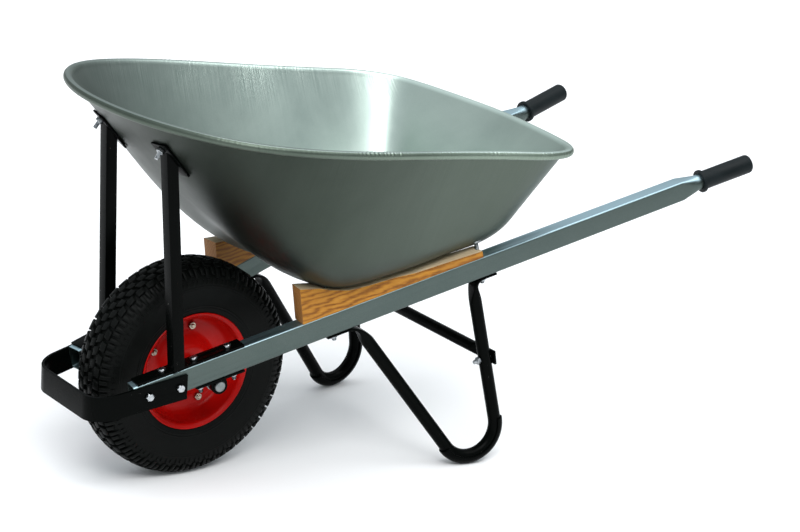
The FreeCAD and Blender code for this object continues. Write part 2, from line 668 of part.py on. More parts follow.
def wheel_parts():
    bolt_holes = Part.makeCompound([wheel_hole(turn, M8_R + HOLE_GAP) for turn in RIM_BOLT_TURNS])
    valve_hole = rod(VALVE_INNER, VALVE_FOOT, VALVE_R + 0.1)
    outer_half = rim_half().cut(bolt_holes)
    bearing = tube(V(0, HUB_HALF_LENGTH - BEARING_WIDTH, WHEEL_R), V(0, HUB_HALF_LENGTH, WHEEL_R),
                   HUB_BORE_R, AXLE_R + AXLE_RUNNING_GAP)
    bolts = []
    nuts = []
    for turn in RIM_BOLT_TURNS:
        seat = rim_point(turn, RIM_BOLT_CIRCLE_R, -RIM_SHEET)
        bolts.append(hex_bolt(seat, V(0, 1, 0), 2 * RIM_SHEET + M8_NUT + 3))
        nuts.append(hex_nut(rim_point(turn, RIM_BOLT_CIRCLE_R, RIM_SHEET), V(0, 1, 0)))
    valve_axis = (VALVE_INNER - VALVE_FOOT).normalize()
    cap_start = VALVE_INNER - valve_axis * 8
    stem = rod(VALVE_FOOT, cap_start, VALVE_R)
    tube_ring = inner_tube().cut(valve_hole)
    return {
        "tyre": tyre(),
        "inner_tube": tube_ring,
        "left_rim_half": outer_half.cut(valve_hole),
        "right_rim_half": mirrored(rim_half()).cut(bolt_holes),
        "hub": tube(V(0, -HUB_HALF_LENGTH, WHEEL_R), V(0, HUB_HALF_LENGTH, WHEEL_R), HUB_R, HUB_BORE_R),
        "left_bearing": bearing,
        "right_bearing": mirrored(bearing),
        "rim_bolts": Part.makeCompound(bolts),
        "rim_nuts": Part.makeCompound(nuts),
        "valve_stem": stem,
        "valve_cap": rod(cap_start, VALVE_INNER + valve_axis * 2, VALVE_R + 1),
    }


# ---------------------------------------------------------------- legs and brace
def leg_frame():
    """Frame of the left leg's plane: origin on the ground, first axis forwards, third axis up."""
    front = on_rail(LEG_BOLTS[0], RAIL_MIDDLE, -rail_depth(LEG_BOLTS[0]))
    rear = on_rail(LEG_BOLTS[1], RAIL_MIDDLE, -rail_depth(LEG_BOLTS[1]))
    ground = V(LEG_GROUND[0], LEG_GROUND[1], 0)
    normal = (rear - ground).cross(front - ground).normalize()
    if normal.y < 0:
        normal = normal * -1
    forwards = normal.cross(V(0, 0, 1)).normalize()
    up = forwards.cross(normal).normalize()
    if up.z < 0:
        up = up * -1
    if forwards.x < 0:
        forwards = forwards * -1
    side = up.cross(forwards).normalize()
    return ground, forwards, side, up


LEG_FRAME = leg_frame()
LEG_ORIGIN, LEG_FORWARDS, LEG_SIDE, LEG_UP = LEG_FRAME


def in_leg_plane(point):
    """Coordinates of a point along the leg plane's forward and up axes."""
    offset = point - LEG_ORIGIN
    return offset.dot(LEG_FORWARDS), offset.dot(LEG_UP)


def tangent_from(point, centre, radius, side):
    """Point where a line from point touches a circle, on the side given by +1 or -1."""
    dx, dz = point[0] - centre[0], point[1] - centre[1]
    distance = math.hypot(dx, dz)
    bearing_angle = math.atan2(dz, dx)
    half = math.acos(radius / distance)
    angle = bearing_angle + side * half
    return centre[0] + radius * math.cos(angle), centre[1] + radius * math.sin(angle)


def leg_neck(along, below):
    """Point under the rail's middle line where a leg tube begins to be round."""
    return in_leg_plane(on_rail(along, RAIL_MIDDLE, -rail_depth(along) - below))


FRONT_NECK = leg_neck(*LEG_FRONT_NECK)
REAR_NECK = leg_neck(*LEG_REAR_NECK)
BEND_CENTRE = (0.0, LEG_BEND_R + SHOE_R)
FRONT_TOUCH = tangent_from(FRONT_NECK, BEND_CENTRE, LEG_BEND_R, -1)
REAR_TOUCH = tangent_from(REAR_NECK, BEND_CENTRE, LEG_BEND_R, 1)
BEND_BOTTOM = (0.0, SHOE_R)


def leg_point(flat):
    return LEG_ORIGIN + LEG_FORWARDS * flat[0] + LEG_UP * flat[1]


def bend_arc():
    return Part.Arc(leg_point(FRONT_TOUCH), leg_point(BEND_BOTTOM), leg_point(REAR_TOUCH)).toShape()


def swept(edges, radius):
    """Round bar along joined edges."""
    path = Part.Wire(edges)
    first = edges[0]
    start = first.valueAt(first.FirstParameter)
    direction = first.tangentAt(first.FirstParameter)
    circle = Part.Wire(Part.makeCircle(radius, start, direction))
    return path.makePipeShell([circle], True, True)


def flattened_end(neck, toward, tab_start, tab_end, tab_along, loft_start):
    """Tab pressed flat under the rail, and the stretch of tube that changes from flat to round."""
    depth = rail_depth((tab_start + tab_end) / 2)
    tab = in_frame(box(V(tab_start, 1, -depth - LEG_TAB), V(tab_end, RAIL_WIDTH - 1, -depth)), *RAIL_FRAME)
    flat = section(RAIL_WIDTH - 2, LEG_TAB, LEG_TAB * 0.45)
    flat = in_frame(flat.translated(V(loft_start, RAIL_MIDDLE, -depth - LEG_TAB / 2)), *RAIL_FRAME)
    direction = (leg_point(toward) - leg_point(neck)).normalize()
    if tab_along.dot(direction) < 0:
        direction = direction * -1
    round_end = section(0, 0, 0, LEG_R)
    round_end = in_frame(round_end, leg_point(neck), direction, INWARD, direction.cross(INWARD).normalize())
    return tab, Part.makeLoft([flat, round_end], True, True)


def leg(holes):
    front_run = Part.makeLine(leg_point(FRONT_NECK), leg_point(FRONT_TOUCH))
    rear_run = Part.makeLine(leg_point(REAR_TOUCH), leg_point(REAR_NECK))
    path = [front_run, bend_arc(), rear_run]
    bar = swept(path, LEG_R).cut(swept(path, LEG_R - LEG_WALL))
    front_tab, front_change = flattened_end(FRONT_NECK, FRONT_TOUCH, LEG_FRONT_TAB[0], LEG_FRONT_TAB[1],
                                            ALONG, LEG_FRONT_TAB[1])
    rear_tab, rear_change = flattened_end(REAR_NECK, REAR_TOUCH, LEG_REAR_TAB[0], LEG_REAR_TAB[1],
                                          ALONG * -1, LEG_REAR_TAB[0])
    rail_above = in_frame(rail_solid(0), *RAIL_FRAME)
    whole = fused([bar, front_tab, front_change, rear_tab, rear_change])
    return whole.cut(rail_above).cut(holes).Solids[0]


def leg_shoe():
    """Wear sleeve round the outer half of the leg's bend."""
    sleeve = swept([bend_arc()], SHOE_R).cut(swept([bend_arc()], LEG_R + TOUCH_GAP))
    centre = leg_point(BEND_CENTRE)
    inner_half = rod(centre - LEG_SIDE * 2 * SHOE_R, centre + LEG_SIDE * 2 * SHOE_R, LEG_BEND_R)
    return sleeve.cut(inner_half).Solids[0]


REAR_AXIS = (leg_point(REAR_NECK) - leg_point(REAR_TOUCH)).normalize()
BRACE_UP = V(REAR_AXIS.x, 0, REAR_AXIS.z).normalize()
BRACE_BACK = V(-BRACE_UP.z, 0, BRACE_UP.x)
BRACE_POST = leg_point(REAR_TOUCH) + REAR_AXIS * ((BRACE_Z - leg_point(REAR_TOUCH).z) / REAR_AXIS.z)
BRACE_SETBACK = LEG_R + TOUCH_GAP + 0.2 + BRACE_TAB / 2
BRACE_CENTRE = V(BRACE_POST.x, 0, BRACE_POST.z) + BRACE_BACK * BRACE_SETBACK
BRACE_FRAME = (BRACE_CENTRE, V(0, 1, 0), BRACE_BACK, V(0, 1, 0).cross(BRACE_BACK))
BRACE_TUBE_END = 160.0
BRACE_TAB_START = 184.0
BRACE_TAB_END = BRACE_POST.y + LEG_R + 2


def brace(holes):
    """Cross tube whose ends are pressed flat and bolted behind the rear leg tubes."""
    middle = Part.makeCylinder(BRACE_R, 2 * BRACE_TUBE_END, V(-BRACE_TUBE_END, 0, 0), V(1, 0, 0))
    pieces = [middle]
    for sign in (1, -1):
        round_end = section(0, 0, 0, BRACE_R).translated(V(sign * BRACE_TUBE_END, 0, 0))
        flat_end = section(BRACE_TAB, BRACE_TAB_WIDTH, BRACE_TAB * 0.45).translated(V(sign * BRACE_TAB_START, 0, 0))
        pieces.append(Part.makeLoft([round_end, flat_end], True, True))
        ends = sorted((sign * BRACE_TAB_START, sign * BRACE_TAB_END))
        pieces.append(box(V(ends[0], -BRACE_TAB / 2, -BRACE_TAB_WIDTH / 2),
                          V(ends[1], BRACE_TAB / 2, BRACE_TAB_WIDTH / 2)))
    return in_frame(fused(pieces), *BRACE_FRAME).cut(holes).Solids[0]


# ---------------------------------------------------------------- fasteners on the frame
def rail_bolt_line(along):
    """Point on the rail's middle line, level with its top."""
    return on_rail(along, RAIL_MIDDLE, 0)


def tray_bolt(along, inside):
    """Domed bolt through tray, wedge, rail and leg tab."""
    foot = rail_bolt_line(along) - ABOVE * (rail_depth(along) + LEG_TAB + M8_NUT + 6)
    axis_line = Part.makeLine(rail_bolt_line(along), rail_bolt_line(along) + ABOVE * LONG)
    entry = axis_line.common(inside).Vertexes
    seat = min((v.Point for v in entry), key=lambda p: (p - foot).Length)
    return fused([rod(foot, seat + ABOVE * 2, M8_R), domed_head(seat, ABOVE, inside)])


def domed_head(seat, out, inside):
    """Low dome that stands just clear of the tray's inner face."""
    return Part.makeSphere(DOME_R, seat - out * DOME_SINK).common(inside).translated(out * TOUCH_GAP)


def frame_fasteners(inside):
    """Bolts and nuts of the left side, by group name."""
    groups = {name: [] for name in ("tray_bolts", "tray_bolt_nuts", "stay_foot_bolts", "stay_foot_nuts",
                                    "stay_top_bolts", "stay_top_nuts", "guard_bolts", "guard_nuts",
                                    "brace_bolts", "brace_nuts")}
    for along in LEG_BOLTS:
        groups["tray_bolts"].append(tray_bolt(along, inside))
        seat = rail_bolt_line(along) - ABOVE * (rail_depth(along) + LEG_TAB)
        groups["tray_bolt_nuts"].append(hex_nut(seat, ABOVE * -1))
    for along in STAY_FOOT_BOLTS:
        under = BRACKET_SHEET if along > STAY_FOOT_BOLTS[0] else 0.0
        clamped = STAY_PLATE + rail_depth(along) + under
        seat = rail_bolt_line(along) + ABOVE * STAY_PLATE
        groups["stay_foot_bolts"].append(hex_bolt(seat, ABOVE * -1, clamped + M8_NUT + 8))
        groups["stay_foot_nuts"].append(hex_nut(seat - ABOVE * (clamped + 0.5), ABOVE * -1))
    seat = STAY_TOP - STAY_DOWN * STAY_TOP_BOLT_UP
    head = domed_head(seat - STAY_OUT * TRAY_SHEET, STAY_OUT * -1, inside)
    shank = rod(seat - STAY_OUT * (TRAY_SHEET + 2), seat + STAY_OUT * (STAY_PLATE + M8_NUT + 12), M8_R)
    groups["stay_top_bolts"].append(fused([shank, head]))
    groups["stay_top_nuts"].append(hex_nut(seat + STAY_OUT * (STAY_PLATE + TOUCH_GAP + 0.1), STAY_OUT))
    for along, above in GUARD_BOLTS:
        seat = on_rail(along, -GUARD_SHEET, above)
        groups["guard_bolts"].append(hex_bolt(seat, INWARD, GUARD_SHEET + RAIL_WIDTH + M8_NUT + 4))
        groups["guard_nuts"].append(hex_nut(on_rail(along, RAIL_WIDTH, above), INWARD))
    seat = BRACE_POST + BRACE_BACK * (BRACE_SETBACK + BRACE_TAB / 2)
    reach = BRACE_SETBACK + BRACE_TAB / 2 + LEG_R
    groups["brace_bolts"].append(hex_bolt(seat, BRACE_BACK * -1, reach + M8_NUT + 7))
    groups["brace_nuts"].append(hex_nut(BRACE_POST - BRACE_BACK * (LEG_R + TOUCH_GAP), BRACE_BACK * -1))
    return groups


def frame_holes():
    """Clearance holes of the left side for every bolt that passes through more than one piece."""
    radius = M8_R + HOLE_GAP
    holes = []
    for along in LEG_BOLTS + STAY_FOOT_BOLTS:
        low = rail_bolt_line(along) - ABOVE * 70
        holes.append(rod(low, low + ABOVE * (70 + WEDGE_HEIGHT + 30), radius))
    for along, above in GUARD_BOLTS:
        holes.append(rod(on_rail(along, -20, above), on_rail(along, 60, above), radius))
    seat = STAY_TOP - STAY_DOWN * STAY_TOP_BOLT_UP
    holes.append(rod(seat - STAY_OUT * 20, seat + STAY_OUT * 20, radius))
    holes.append(rod(BRACE_POST + BRACE_BACK * 40, BRACE_POST - BRACE_BACK * 40, radius))
    return Part.makeCompound(holes)


# ---------------------------------------------------------------- assembly
def build():
    inside = tray_inside()
    holes = frame_holes()
    both_holes = Part.makeCompound([holes, mirrored(holes)])
    spacer = tube(V(0, HUB_HALF_LENGTH + SPACER_GAP, WHEEL_R), V(0, 106.0, WHEEL_R), SPACER_R, AXLE_R)

    one_sided = {
        "handle_rail": handle_rail(holes),
        "grip": grip(),
        "wedge": wedge(TRAY_OUTSIDE, holes),
        "stay": stay(holes),
        "leg": leg(holes),
        "leg_shoe": leg_shoe(),
        "axle_bracket": axle_bracket(holes),
        "axle_spacer": spacer,
    }
    nodes = {
        "tray": tray(both_holes),
        "rim_wire": rim_core(RIM_WIRE_R),
        "nose_guard": guard(both_holes),
        "cross_brace": brace(both_holes),
        "axle": rod(V(0, -AXLE_HALF_LENGTH, WHEEL_R), V(0, AXLE_HALF_LENGTH, WHEEL_R), AXLE_R),
    }
    for name, shape in one_sided.items():
        nodes["left_" + name] = shape
        nodes["right_" + name] = mirrored(shape)
    for name, solids in frame_fasteners(inside).items():
        nodes[name] = Part.makeCompound(solids + [mirrored(solid) for solid in solids])
    nodes.update(wheel_parts())
    return nodes


os.makedirs("parts", exist_ok=True)
for node_name, node_shape in build().items():
    place(node_shape).exportStep("parts/" + node_name + ".step")
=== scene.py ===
"""Looks of the builder's wheelbarrow: pieces in metres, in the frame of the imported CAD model."""

import math
import json
import random

import bmesh
import bpy
import numpy as np
from mathutils import Matrix, Vector


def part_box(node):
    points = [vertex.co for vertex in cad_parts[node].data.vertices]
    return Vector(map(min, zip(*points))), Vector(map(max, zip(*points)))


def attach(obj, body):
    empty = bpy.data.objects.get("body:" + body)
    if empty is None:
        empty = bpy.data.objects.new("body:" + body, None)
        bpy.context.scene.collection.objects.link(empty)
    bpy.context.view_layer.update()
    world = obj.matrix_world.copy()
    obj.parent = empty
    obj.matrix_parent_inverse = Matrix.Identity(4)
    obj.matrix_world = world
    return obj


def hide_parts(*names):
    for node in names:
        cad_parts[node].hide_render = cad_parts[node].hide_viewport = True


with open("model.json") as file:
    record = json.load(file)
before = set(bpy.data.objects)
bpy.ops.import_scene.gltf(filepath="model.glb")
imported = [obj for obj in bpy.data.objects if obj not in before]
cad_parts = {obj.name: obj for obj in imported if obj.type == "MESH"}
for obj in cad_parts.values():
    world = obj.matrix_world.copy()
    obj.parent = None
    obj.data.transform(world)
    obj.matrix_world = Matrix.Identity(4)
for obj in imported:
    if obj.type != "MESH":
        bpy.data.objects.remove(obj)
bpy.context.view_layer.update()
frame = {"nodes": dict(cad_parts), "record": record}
MM = 0.001

axle_low, axle_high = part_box("axle")
AXLE = (axle_low + axle_high) / 2


def at(x, y, z):
    """Point in the row frame from millimetres forward of the axle, to the left, and above the ground."""
    return Vector((AXLE.x + x * MM, y * MM, z * MM))


# ---------------------------------------------------------------- materials
def new_material(name):
    """Empty material with one principled shader."""
    made = bpy.data.materials.new(name)
    made.use_nodes = True
    tree = made.node_tree
    tree.nodes.clear()
    out = tree.nodes.new("ShaderNodeOutputMaterial")
    shader = tree.nodes.new("ShaderNodeBsdfPrincipled")
    tree.links.new(shader.outputs["BSDF"], out.inputs["Surface"])
    return made, tree, shader


def coordinates(tree, source="Object", scale=(1, 1, 1), rotation=(0, 0, 0)):
    """Texture coordinates, turned and stretched."""
    coords = tree.nodes.new("ShaderNodeTexCoord")
    mapping = tree.nodes.new("ShaderNodeMapping")
    mapping.inputs["Scale"].default_value = scale
    mapping.inputs["Rotation"].default_value = rotation
    tree.links.new(coords.outputs[source], mapping.inputs["Vector"])
    return mapping.outputs["Vector"]


def noise(tree, vector, scale, detail=4.0, roughness=0.55, distortion=0.0):
    """Value of a noise texture."""
    node = tree.nodes.new("ShaderNodeTexNoise")
    node.inputs["Scale"].default_value = scale
    node.inputs["Detail"].default_value = detail
    node.inputs["Roughness"].default_value = roughness
    node.inputs["Distortion"].default_value = distortion
    tree.links.new(vector, node.inputs["Vector"])
    return node.outputs["Fac"]


def spread(tree, value, low, high, to_low=0.0, to_high=1.0):
    """Value from low..high carried to to_low..to_high."""
    node = tree.nodes.new("ShaderNodeMapRange")
    node.inputs["From Min"].default_value = low
    node.inputs["From Max"].default_value = high
    node.inputs["To Min"].default_value = to_low
    node.inputs["To Max"].default_value = to_high
    tree.links.new(value, node.inputs["Value"])
    return node.outputs["Result"]


def calc(tree, operation, a, b):
    """Result of one sum, each input a socket or a number."""
    node = tree.nodes.new("ShaderNodeMath")
    node.operation = operation
    for socket, value in zip(node.inputs, (a, b)):
        if isinstance(value, (int, float)):
            socket.default_value = value
        else:
            tree.links.new(value, socket)
    return node.outputs["Value"]


def ramp(tree, value, stops):
    """Colour from a value, by stops of (position, colour)."""
    node = tree.nodes.new("ShaderNodeValToRGB")
    elements = node.color_ramp.elements
    while len(elements) < len(stops):
        elements.new(0.5)
    for element, (position, colour) in zip(elements, stops):
        element.position = position
        element.color = (*colour, 1.0)
    tree.links.new(value, node.inputs["Fac"])
    return node.outputs["Color"]


def mixed(tree, factor, first, second):
    """Mix of two colours, each a socket or a tuple."""
    node = tree.nodes.new("ShaderNodeMix")
    node.data_type = "RGBA"
    sockets = [s for s in node.inputs if s.type == "RGBA"]
    for socket, value in zip(sockets, (first, second)):
        if isinstance(value, tuple):
            socket.default_value = (*value, 1.0)
        else:
            tree.links.new(value, socket)
    if isinstance(factor, (int, float)):
        node.inputs["Factor"].default_value = factor
    else:
        tree.links.new(factor, node.inputs["Factor"])
    return [s for s in node.outputs if s.type == "RGBA"][0]


def bumped(tree, shader, height, strength, distance, below=None):
    """Bump from a height value, on top of another bump if one is given."""
    node = tree.nodes.new("ShaderNodeBump")
    node.inputs["Strength"].default_value = strength
    node.inputs["Distance"].default_value = distance
    tree.links.new(height, node.inputs["Height"])
    if below is not None:
        tree.links.new(below, node.inputs["Normal"])
    tree.links.new(node.outputs["Normal"], shader.inputs["Normal"])
    return node.outputs["Normal"]


def galvanised(name, dark, light, top, rough):
    """Zinc-coated section: cloudy patches, fine rolling lines along x and a painted reflection of the bright
    bluish sky on its upward faces.
    """
    made, tree, shader = new_material(name)
    clouds = noise(tree, coordinates(tree), 7.0, 6.0, 0.6, 0.3)
    grains = noise(tree, coordinates(tree), 420.0, 3.0, 0.6)
    lines = noise(tree, coordinates(tree, scale=(4.0, 160.0, 160.0)), 6.0, 4.0, 0.65)
    cloudy = calc(tree, "ADD", calc(tree, "MULTIPLY", clouds, 0.6), calc(tree, "MULTIPLY", lines, 0.2))
    tone = calc(tree, "ADD", cloudy, calc(tree, "MULTIPLY", grains, 0.25))
    colour = ramp(tree, spread(tree, tone, 0.38, 0.78), [(0.0, dark), (1.0, light)])
    geometry = tree.nodes.new("ShaderNodeNewGeometry")
    facing = tree.nodes.new("ShaderNodeSeparateXYZ")
    tree.links.new(geometry.outputs["True Normal"], facing.inputs["Vector"])
    # painted reflection: faces turned upwards take the top colour, which stands in for the sky mirrored in
    # the zinc
    painted_sky_mask = spread(tree, facing.outputs["Z"], 0.35, 0.85)
    tree.links.new(mixed(tree, painted_sky_mask, colour, top), shader.inputs["Base Color"])
    shader.inputs["Metallic"].default_value = 1.0
    tree.links.new(spread(tree, clouds, 0.3, 0.7, rough - 0.06, rough + 0.08), shader.inputs["Roughness"])
    normal = bumped(tree, shader, lines, 0.10, 0.0006)
    bumped(tree, shader, grains, 0.12, 0.0003, normal)
    return made


def tray_steel(name, dark, light, rough, streaks, rim_painted_highlight, front_painted_shade):
    """Drawn zinc-coated sheet, streaked under the rim, with a painted highlight on the rolled rim and painted
    shade towards the front.

    Its map runs along the rim and down the wall, both in metres.
    """
    made, tree, shader = new_material(name)
    clouds = noise(tree, coordinates(tree), 5.0, 6.0, 0.62, 0.4)
    grains = noise(tree, coordinates(tree), 520.0, 3.0, 0.6)
    drawn = noise(tree, coordinates(tree, scale=(330.0, 6.0, 9.0)), 1.0, 5.0, 0.7)
    coarse = noise(tree, coordinates(tree, scale=(70.0, 3.0, 3.0)), 1.0, 4.0, 0.6)
    split = tree.nodes.new("ShaderNodeSeparateXYZ")
    tree.links.new(coordinates(tree, "UV"), split.inputs["Vector"])
    depth = split.outputs["Y"]
    place = tree.nodes.new("ShaderNodeSeparateXYZ")
    tree.links.new(coordinates(tree), place.inputs["Vector"])
    geometry = tree.nodes.new("ShaderNodeNewGeometry")
    facing = tree.nodes.new("ShaderNodeSeparateXYZ")
    tree.links.new(geometry.outputs["True Normal"], facing.inputs["Vector"])
    sideways = spread(tree, calc(tree, "ABSOLUTE", facing.outputs["Y"], 0.0), 0.35, 0.7)
    patch = noise(tree, coordinates(tree, scale=(1.0, 1.0, 0.2)), 7.0, 2.0, 0.5)
    near_rim = calc(tree, "MULTIPLY", spread(tree, depth, 0.09, 0.012), spread(tree, patch, 0.35, 0.62))
    near_rim = calc(tree, "MULTIPLY", near_rim, sideways)
    drawn_tone = calc(tree, "MULTIPLY", calc(tree, "SUBTRACT", drawn, 0.5), near_rim)
    tone = calc(tree, "ADD", calc(tree, "MULTIPLY", clouds, 0.7), calc(tree, "MULTIPLY", grains, 0.22))
    tone = calc(tree, "ADD", tone, calc(tree, "MULTIPLY", coarse, 0.14))
    tone = calc(tree, "ADD", tone, calc(tree, "MULTIPLY", drawn_tone, streaks))
    colour = ramp(tree, spread(tree, tone, 0.33, 0.85), [(0.0, dark), (1.0, light)])
    # painted highlight: colour multiplied up on the rolled rim's bead; painted shade: colour multiplied down
    # towards the front
    painted_light_gain = calc(tree, "MULTIPLY", spread(tree, depth, 0.006, 0.001, 1.0, rim_painted_highlight),
                spread(tree, place.outputs["X"], 0.05, 0.42, 1.0, front_painted_shade))
    scaled = tree.nodes.new("ShaderNodeVectorMath")
    scaled.operation = "SCALE"
    tree.links.new(colour, scaled.inputs[0])
    tree.links.new(painted_light_gain, scaled.inputs["Scale"])
    tree.links.new(scaled.outputs["Vector"], shader.inputs["Base Color"])
    shader.inputs["Metallic"].default_value = 1.0
    shine = spread(tree, clouds, 0.3, 0.7, rough - 0.05, rough + 0.07)
    tree.links.new(shine, shader.inputs["Roughness"])
    first = bumped(tree, shader, drawn_tone, min(1.0, streaks * 0.45), 0.0012)
    second = bumped(tree, shader, coarse, 0.10, 0.0010, first)
    bumped(tree, shader, grains, 0.08, 0.0003, second)
    return made


def gloss_paint(name, colour, worn, rough, sheen, coat, peel=0.06, chips=0.70):
    """Sprayed gloss paint: orange peel, slight dust and small chips that show the primer."""
    made, tree, shader = new_material(name)
    clouds = noise(tree, coordinates(tree), 14.0, 5.0, 0.6)
    peeled = noise(tree, coordinates(tree), 260.0, 2.0, 0.5)
    dust = noise(tree, coordinates(tree), 900.0, 2.0, 0.6)
    chip = noise(tree, coordinates(tree), 120.0, 6.0, 0.75)
    body = mixed(tree, spread(tree, clouds, 0.35, 0.7, 0.0, 0.35), colour, worn)
    chipped = mixed(tree, spread(tree, chip, chips, chips + 0.02), body, (0.30, 0.29, 0.27))
    tree.links.new(chipped, shader.inputs["Base Color"])
    roughness = calc(tree, "ADD", spread(tree, clouds, 0.3, 0.7, rough - 0.04, rough + 0.10),
                     spread(tree, dust, 0.4, 0.8, 0.0, 0.05))
    tree.links.new(roughness, shader.inputs["Roughness"])
    shader.inputs["Specular IOR Level"].default_value = sheen
    shader.inputs["Coat Weight"].default_value = coat
    shader.inputs["Coat Roughness"].default_value = 0.12
    bumped(tree, shader, peeled, peel, 0.0004)
    return made


def rubber(name, dark, light, rough, fine=700.0, bump=0.25, sheen=0.12):
    """Moulded rubber: dull, dusty in patches, finely pitted."""
    made, tree, shader = new_material(name)
    clouds = noise(tree, coordinates(tree), 18.0, 6.0, 0.65, 0.5)
    pits = noise(tree, coordinates(tree), fine, 3.0, 0.6)
    tone = calc(tree, "ADD", calc(tree, "MULTIPLY", clouds, 0.8), calc(tree, "MULTIPLY", pits, 0.3))
    tree.links.new(ramp(tree, spread(tree, tone, 0.4, 0.85), [(0.0, dark), (1.0, light)]),
                   shader.inputs["Base Color"])
    tree.links.new(spread(tree, clouds, 0.3, 0.7, rough - 0.08, rough + 0.12), shader.inputs["Roughness"])
    shader.inputs["Specular IOR Level"].default_value = sheen
    bumped(tree, shader, pits, bump, 0.0004)
    return made


def timber(name):
    """Softwood sawn at a slant to x: growth rings, fibres, a paler cut top and darker end grain."""
    made, tree, shader = new_material(name)
    grain_space = coordinates(tree, scale=(1.5, 7.5, 7.5), rotation=(0.10, -1.05, 0.12))
    rings = tree.nodes.new("ShaderNodeTexWave")
    rings.wave_type = "RINGS"
    rings.rings_direction = "X"
    rings.inputs["Scale"].default_value = 10.0
    rings.inputs["Distortion"].default_value = 7.0
    rings.inputs["Detail"].default_value = 3.0
    rings.inputs["Detail Scale"].default_value = 0.9
    tree.links.new(grain_space, rings.inputs["Vector"])
    fibre_space = coordinates(tree, scale=(12.0, 200.0, 200.0), rotation=(0.0, -1.42, 0.0))
    fibres = noise(tree, fibre_space, 2.0, 5.0, 0.7)
    clouds = noise(tree, coordinates(tree), 16.0, 4.0, 0.6)
    tone = calc(tree, "ADD", calc(tree, "MULTIPLY", rings.outputs["Fac"], 0.42),
                calc(tree, "MULTIPLY", fibres, 0.68))
    sawn = ramp(tree, spread(tree, tone, 0.1, 0.95),
                [(0.0, (0.50, 0.235, 0.030)), (0.5, (0.36, 0.145, 0.013)), (0.8, (0.19, 0.065, 0.007)),
                 (1.0, (0.09, 0.028, 0.004))])
    end_grain = ramp(tree, tone, [(0.0, (0.40, 0.19, 0.06)), (1.0, (0.22, 0.09, 0.025))])
    pale = ramp(tree, tone, [(0.0, (0.80, 0.68, 0.48)), (1.0, (0.62, 0.47, 0.28))])
    geometry = tree.nodes.new("ShaderNodeNewGeometry")
    split = tree.nodes.new("ShaderNodeSeparateXYZ")
    tree.links.new(geometry.outputs["True Normal"], split.inputs["Vector"])
    body = mixed(tree, spread(tree, split.outputs["X"], 0.75, 0.85), sawn, end_grain)
    body = mixed(tree, spread(tree, split.outputs["Z"], 0.35, 0.45), body, pale)
    shaded = mixed(tree, spread(tree, clouds, 0.35, 0.7, 0.0, 0.25), body, (0.20, 0.09, 0.02))
    shader.inputs["Specular IOR Level"].default_value = 0.2
    tree.links.new(shaded, shader.inputs["Base Color"])
    tree.links.new(spread(tree, fibres, 0.3, 0.7, 0.42, 0.6), shader.inputs["Roughness"])
    first = bumped(tree, shader, tone, 0.25, 0.0006)
    bumped(tree, shader, fibres, 0.25, 0.0004, first)
    return made


def plated(name, dark, light, rough):
    """Zinc-plated fastener: mottled, slightly scratched."""
    made, tree, shader = new_material(name)
    clouds = noise(tree, coordinates(tree), 130.0, 5.0, 0.65)
    scratch = noise(tree, coordinates(tree, scale=(1.0, 6.0, 1.0)), 700.0, 3.0, 0.6)
    tree.links.new(ramp(tree, spread(tree, clouds, 0.3, 0.72), [(0.0, dark), (1.0, light)]),
                   shader.inputs["Base Color"])
    shader.inputs["Metallic"].default_value = 1.0
    tree.links.new(spread(tree, clouds, 0.3, 0.7, rough - 0.08, rough + 0.12), shader.inputs["Roughness"])
    bumped(tree, shader, scratch, 0.15, 0.0002)
    return made


def pale_floor(name):
    """Matt white floor with faint clouds and a fine grain."""
    made, tree, shader = new_material(name)
    clouds = noise(tree, coordinates(tree), 1.5, 4.0, 0.5)
    fine = noise(tree, coordinates(tree), 240.0, 2.0, 0.5)
    tree.links.new(ramp(tree, clouds, [(0.3, (0.90, 0.90, 0.90)), (0.7, (0.93, 0.93, 0.93))]),
                   shader.inputs["Base Color"])
    shader.inputs["Roughness"].default_value = 0.75
    bumped(tree, shader, fine, 0.03, 0.0003)
    return made


# the outside copy of the tray's zinc has much darker colours than the inside copy as painted shade; it also
# carries a strong painted rim highlight (2.6) and painted shade towards the front (0.40)
M_TRAY_OUT_PAINTED_SHADE = tray_steel("tray_outside_painted_shade", (0.062, 0.080, 0.064), (0.105, 0.128, 0.106), 0.42, 0.6, 2.6, 0.40)
# the inside copy holds the lit zinc colours, with a painted rim highlight (1.3) and painted shade towards the
# front (0.42)
M_TRAY_IN = tray_steel("tray_inside", (0.34, 0.42, 0.38), (0.50, 0.58, 0.53), 0.36, 2.4, 1.3, 0.42)
# the third colour, (0.34, 0.47, 0.52), is a painted bluish sky reflection on the rail's upward faces
M_RAIL = galvanised("rail_zinc", (0.070, 0.092, 0.086), (0.105, 0.130, 0.122), (0.34, 0.47, 0.52), 0.40)
M_BLACK = gloss_paint("black_paint", (0.0008, 0.0012, 0.0010), (0.0018, 0.0022, 0.0020), 0.22, 0.03, 0.0)
M_RED = gloss_paint("red_paint", (0.42, 0.0035, 0.0022), (0.33, 0.003, 0.002), 0.24, 0.10, 0.04, 0.04, 0.80)
M_WOOD = timber("timber")
M_GRIP = rubber("grip_rubber", (0.0035, 0.0060, 0.0068), (0.0085, 0.0130, 0.0145), 0.50, 420.0, 0.30, 0.12)
M_TYRE = rubber("tyre_rubber", (0.0014, 0.0018, 0.0015), (0.0042, 0.0050, 0.0045), 0.46, 600.0, 0.25, 0.07)
M_TUBE = rubber("tube_rubber", (0.010, 0.010, 0.010), (0.02, 0.02, 0.02), 0.6)
M_ZINC = plated("bright_zinc", (0.26, 0.28, 0.29), (0.50, 0.52, 0.54), 0.26)
M_YELLOW = plated("yellow_zinc", (0.26, 0.21, 0.16), (0.52, 0.46, 0.38), 0.22)
M_STEEL = plated("turned_steel", (0.13, 0.15, 0.15), (0.26, 0.28, 0.28), 0.34)

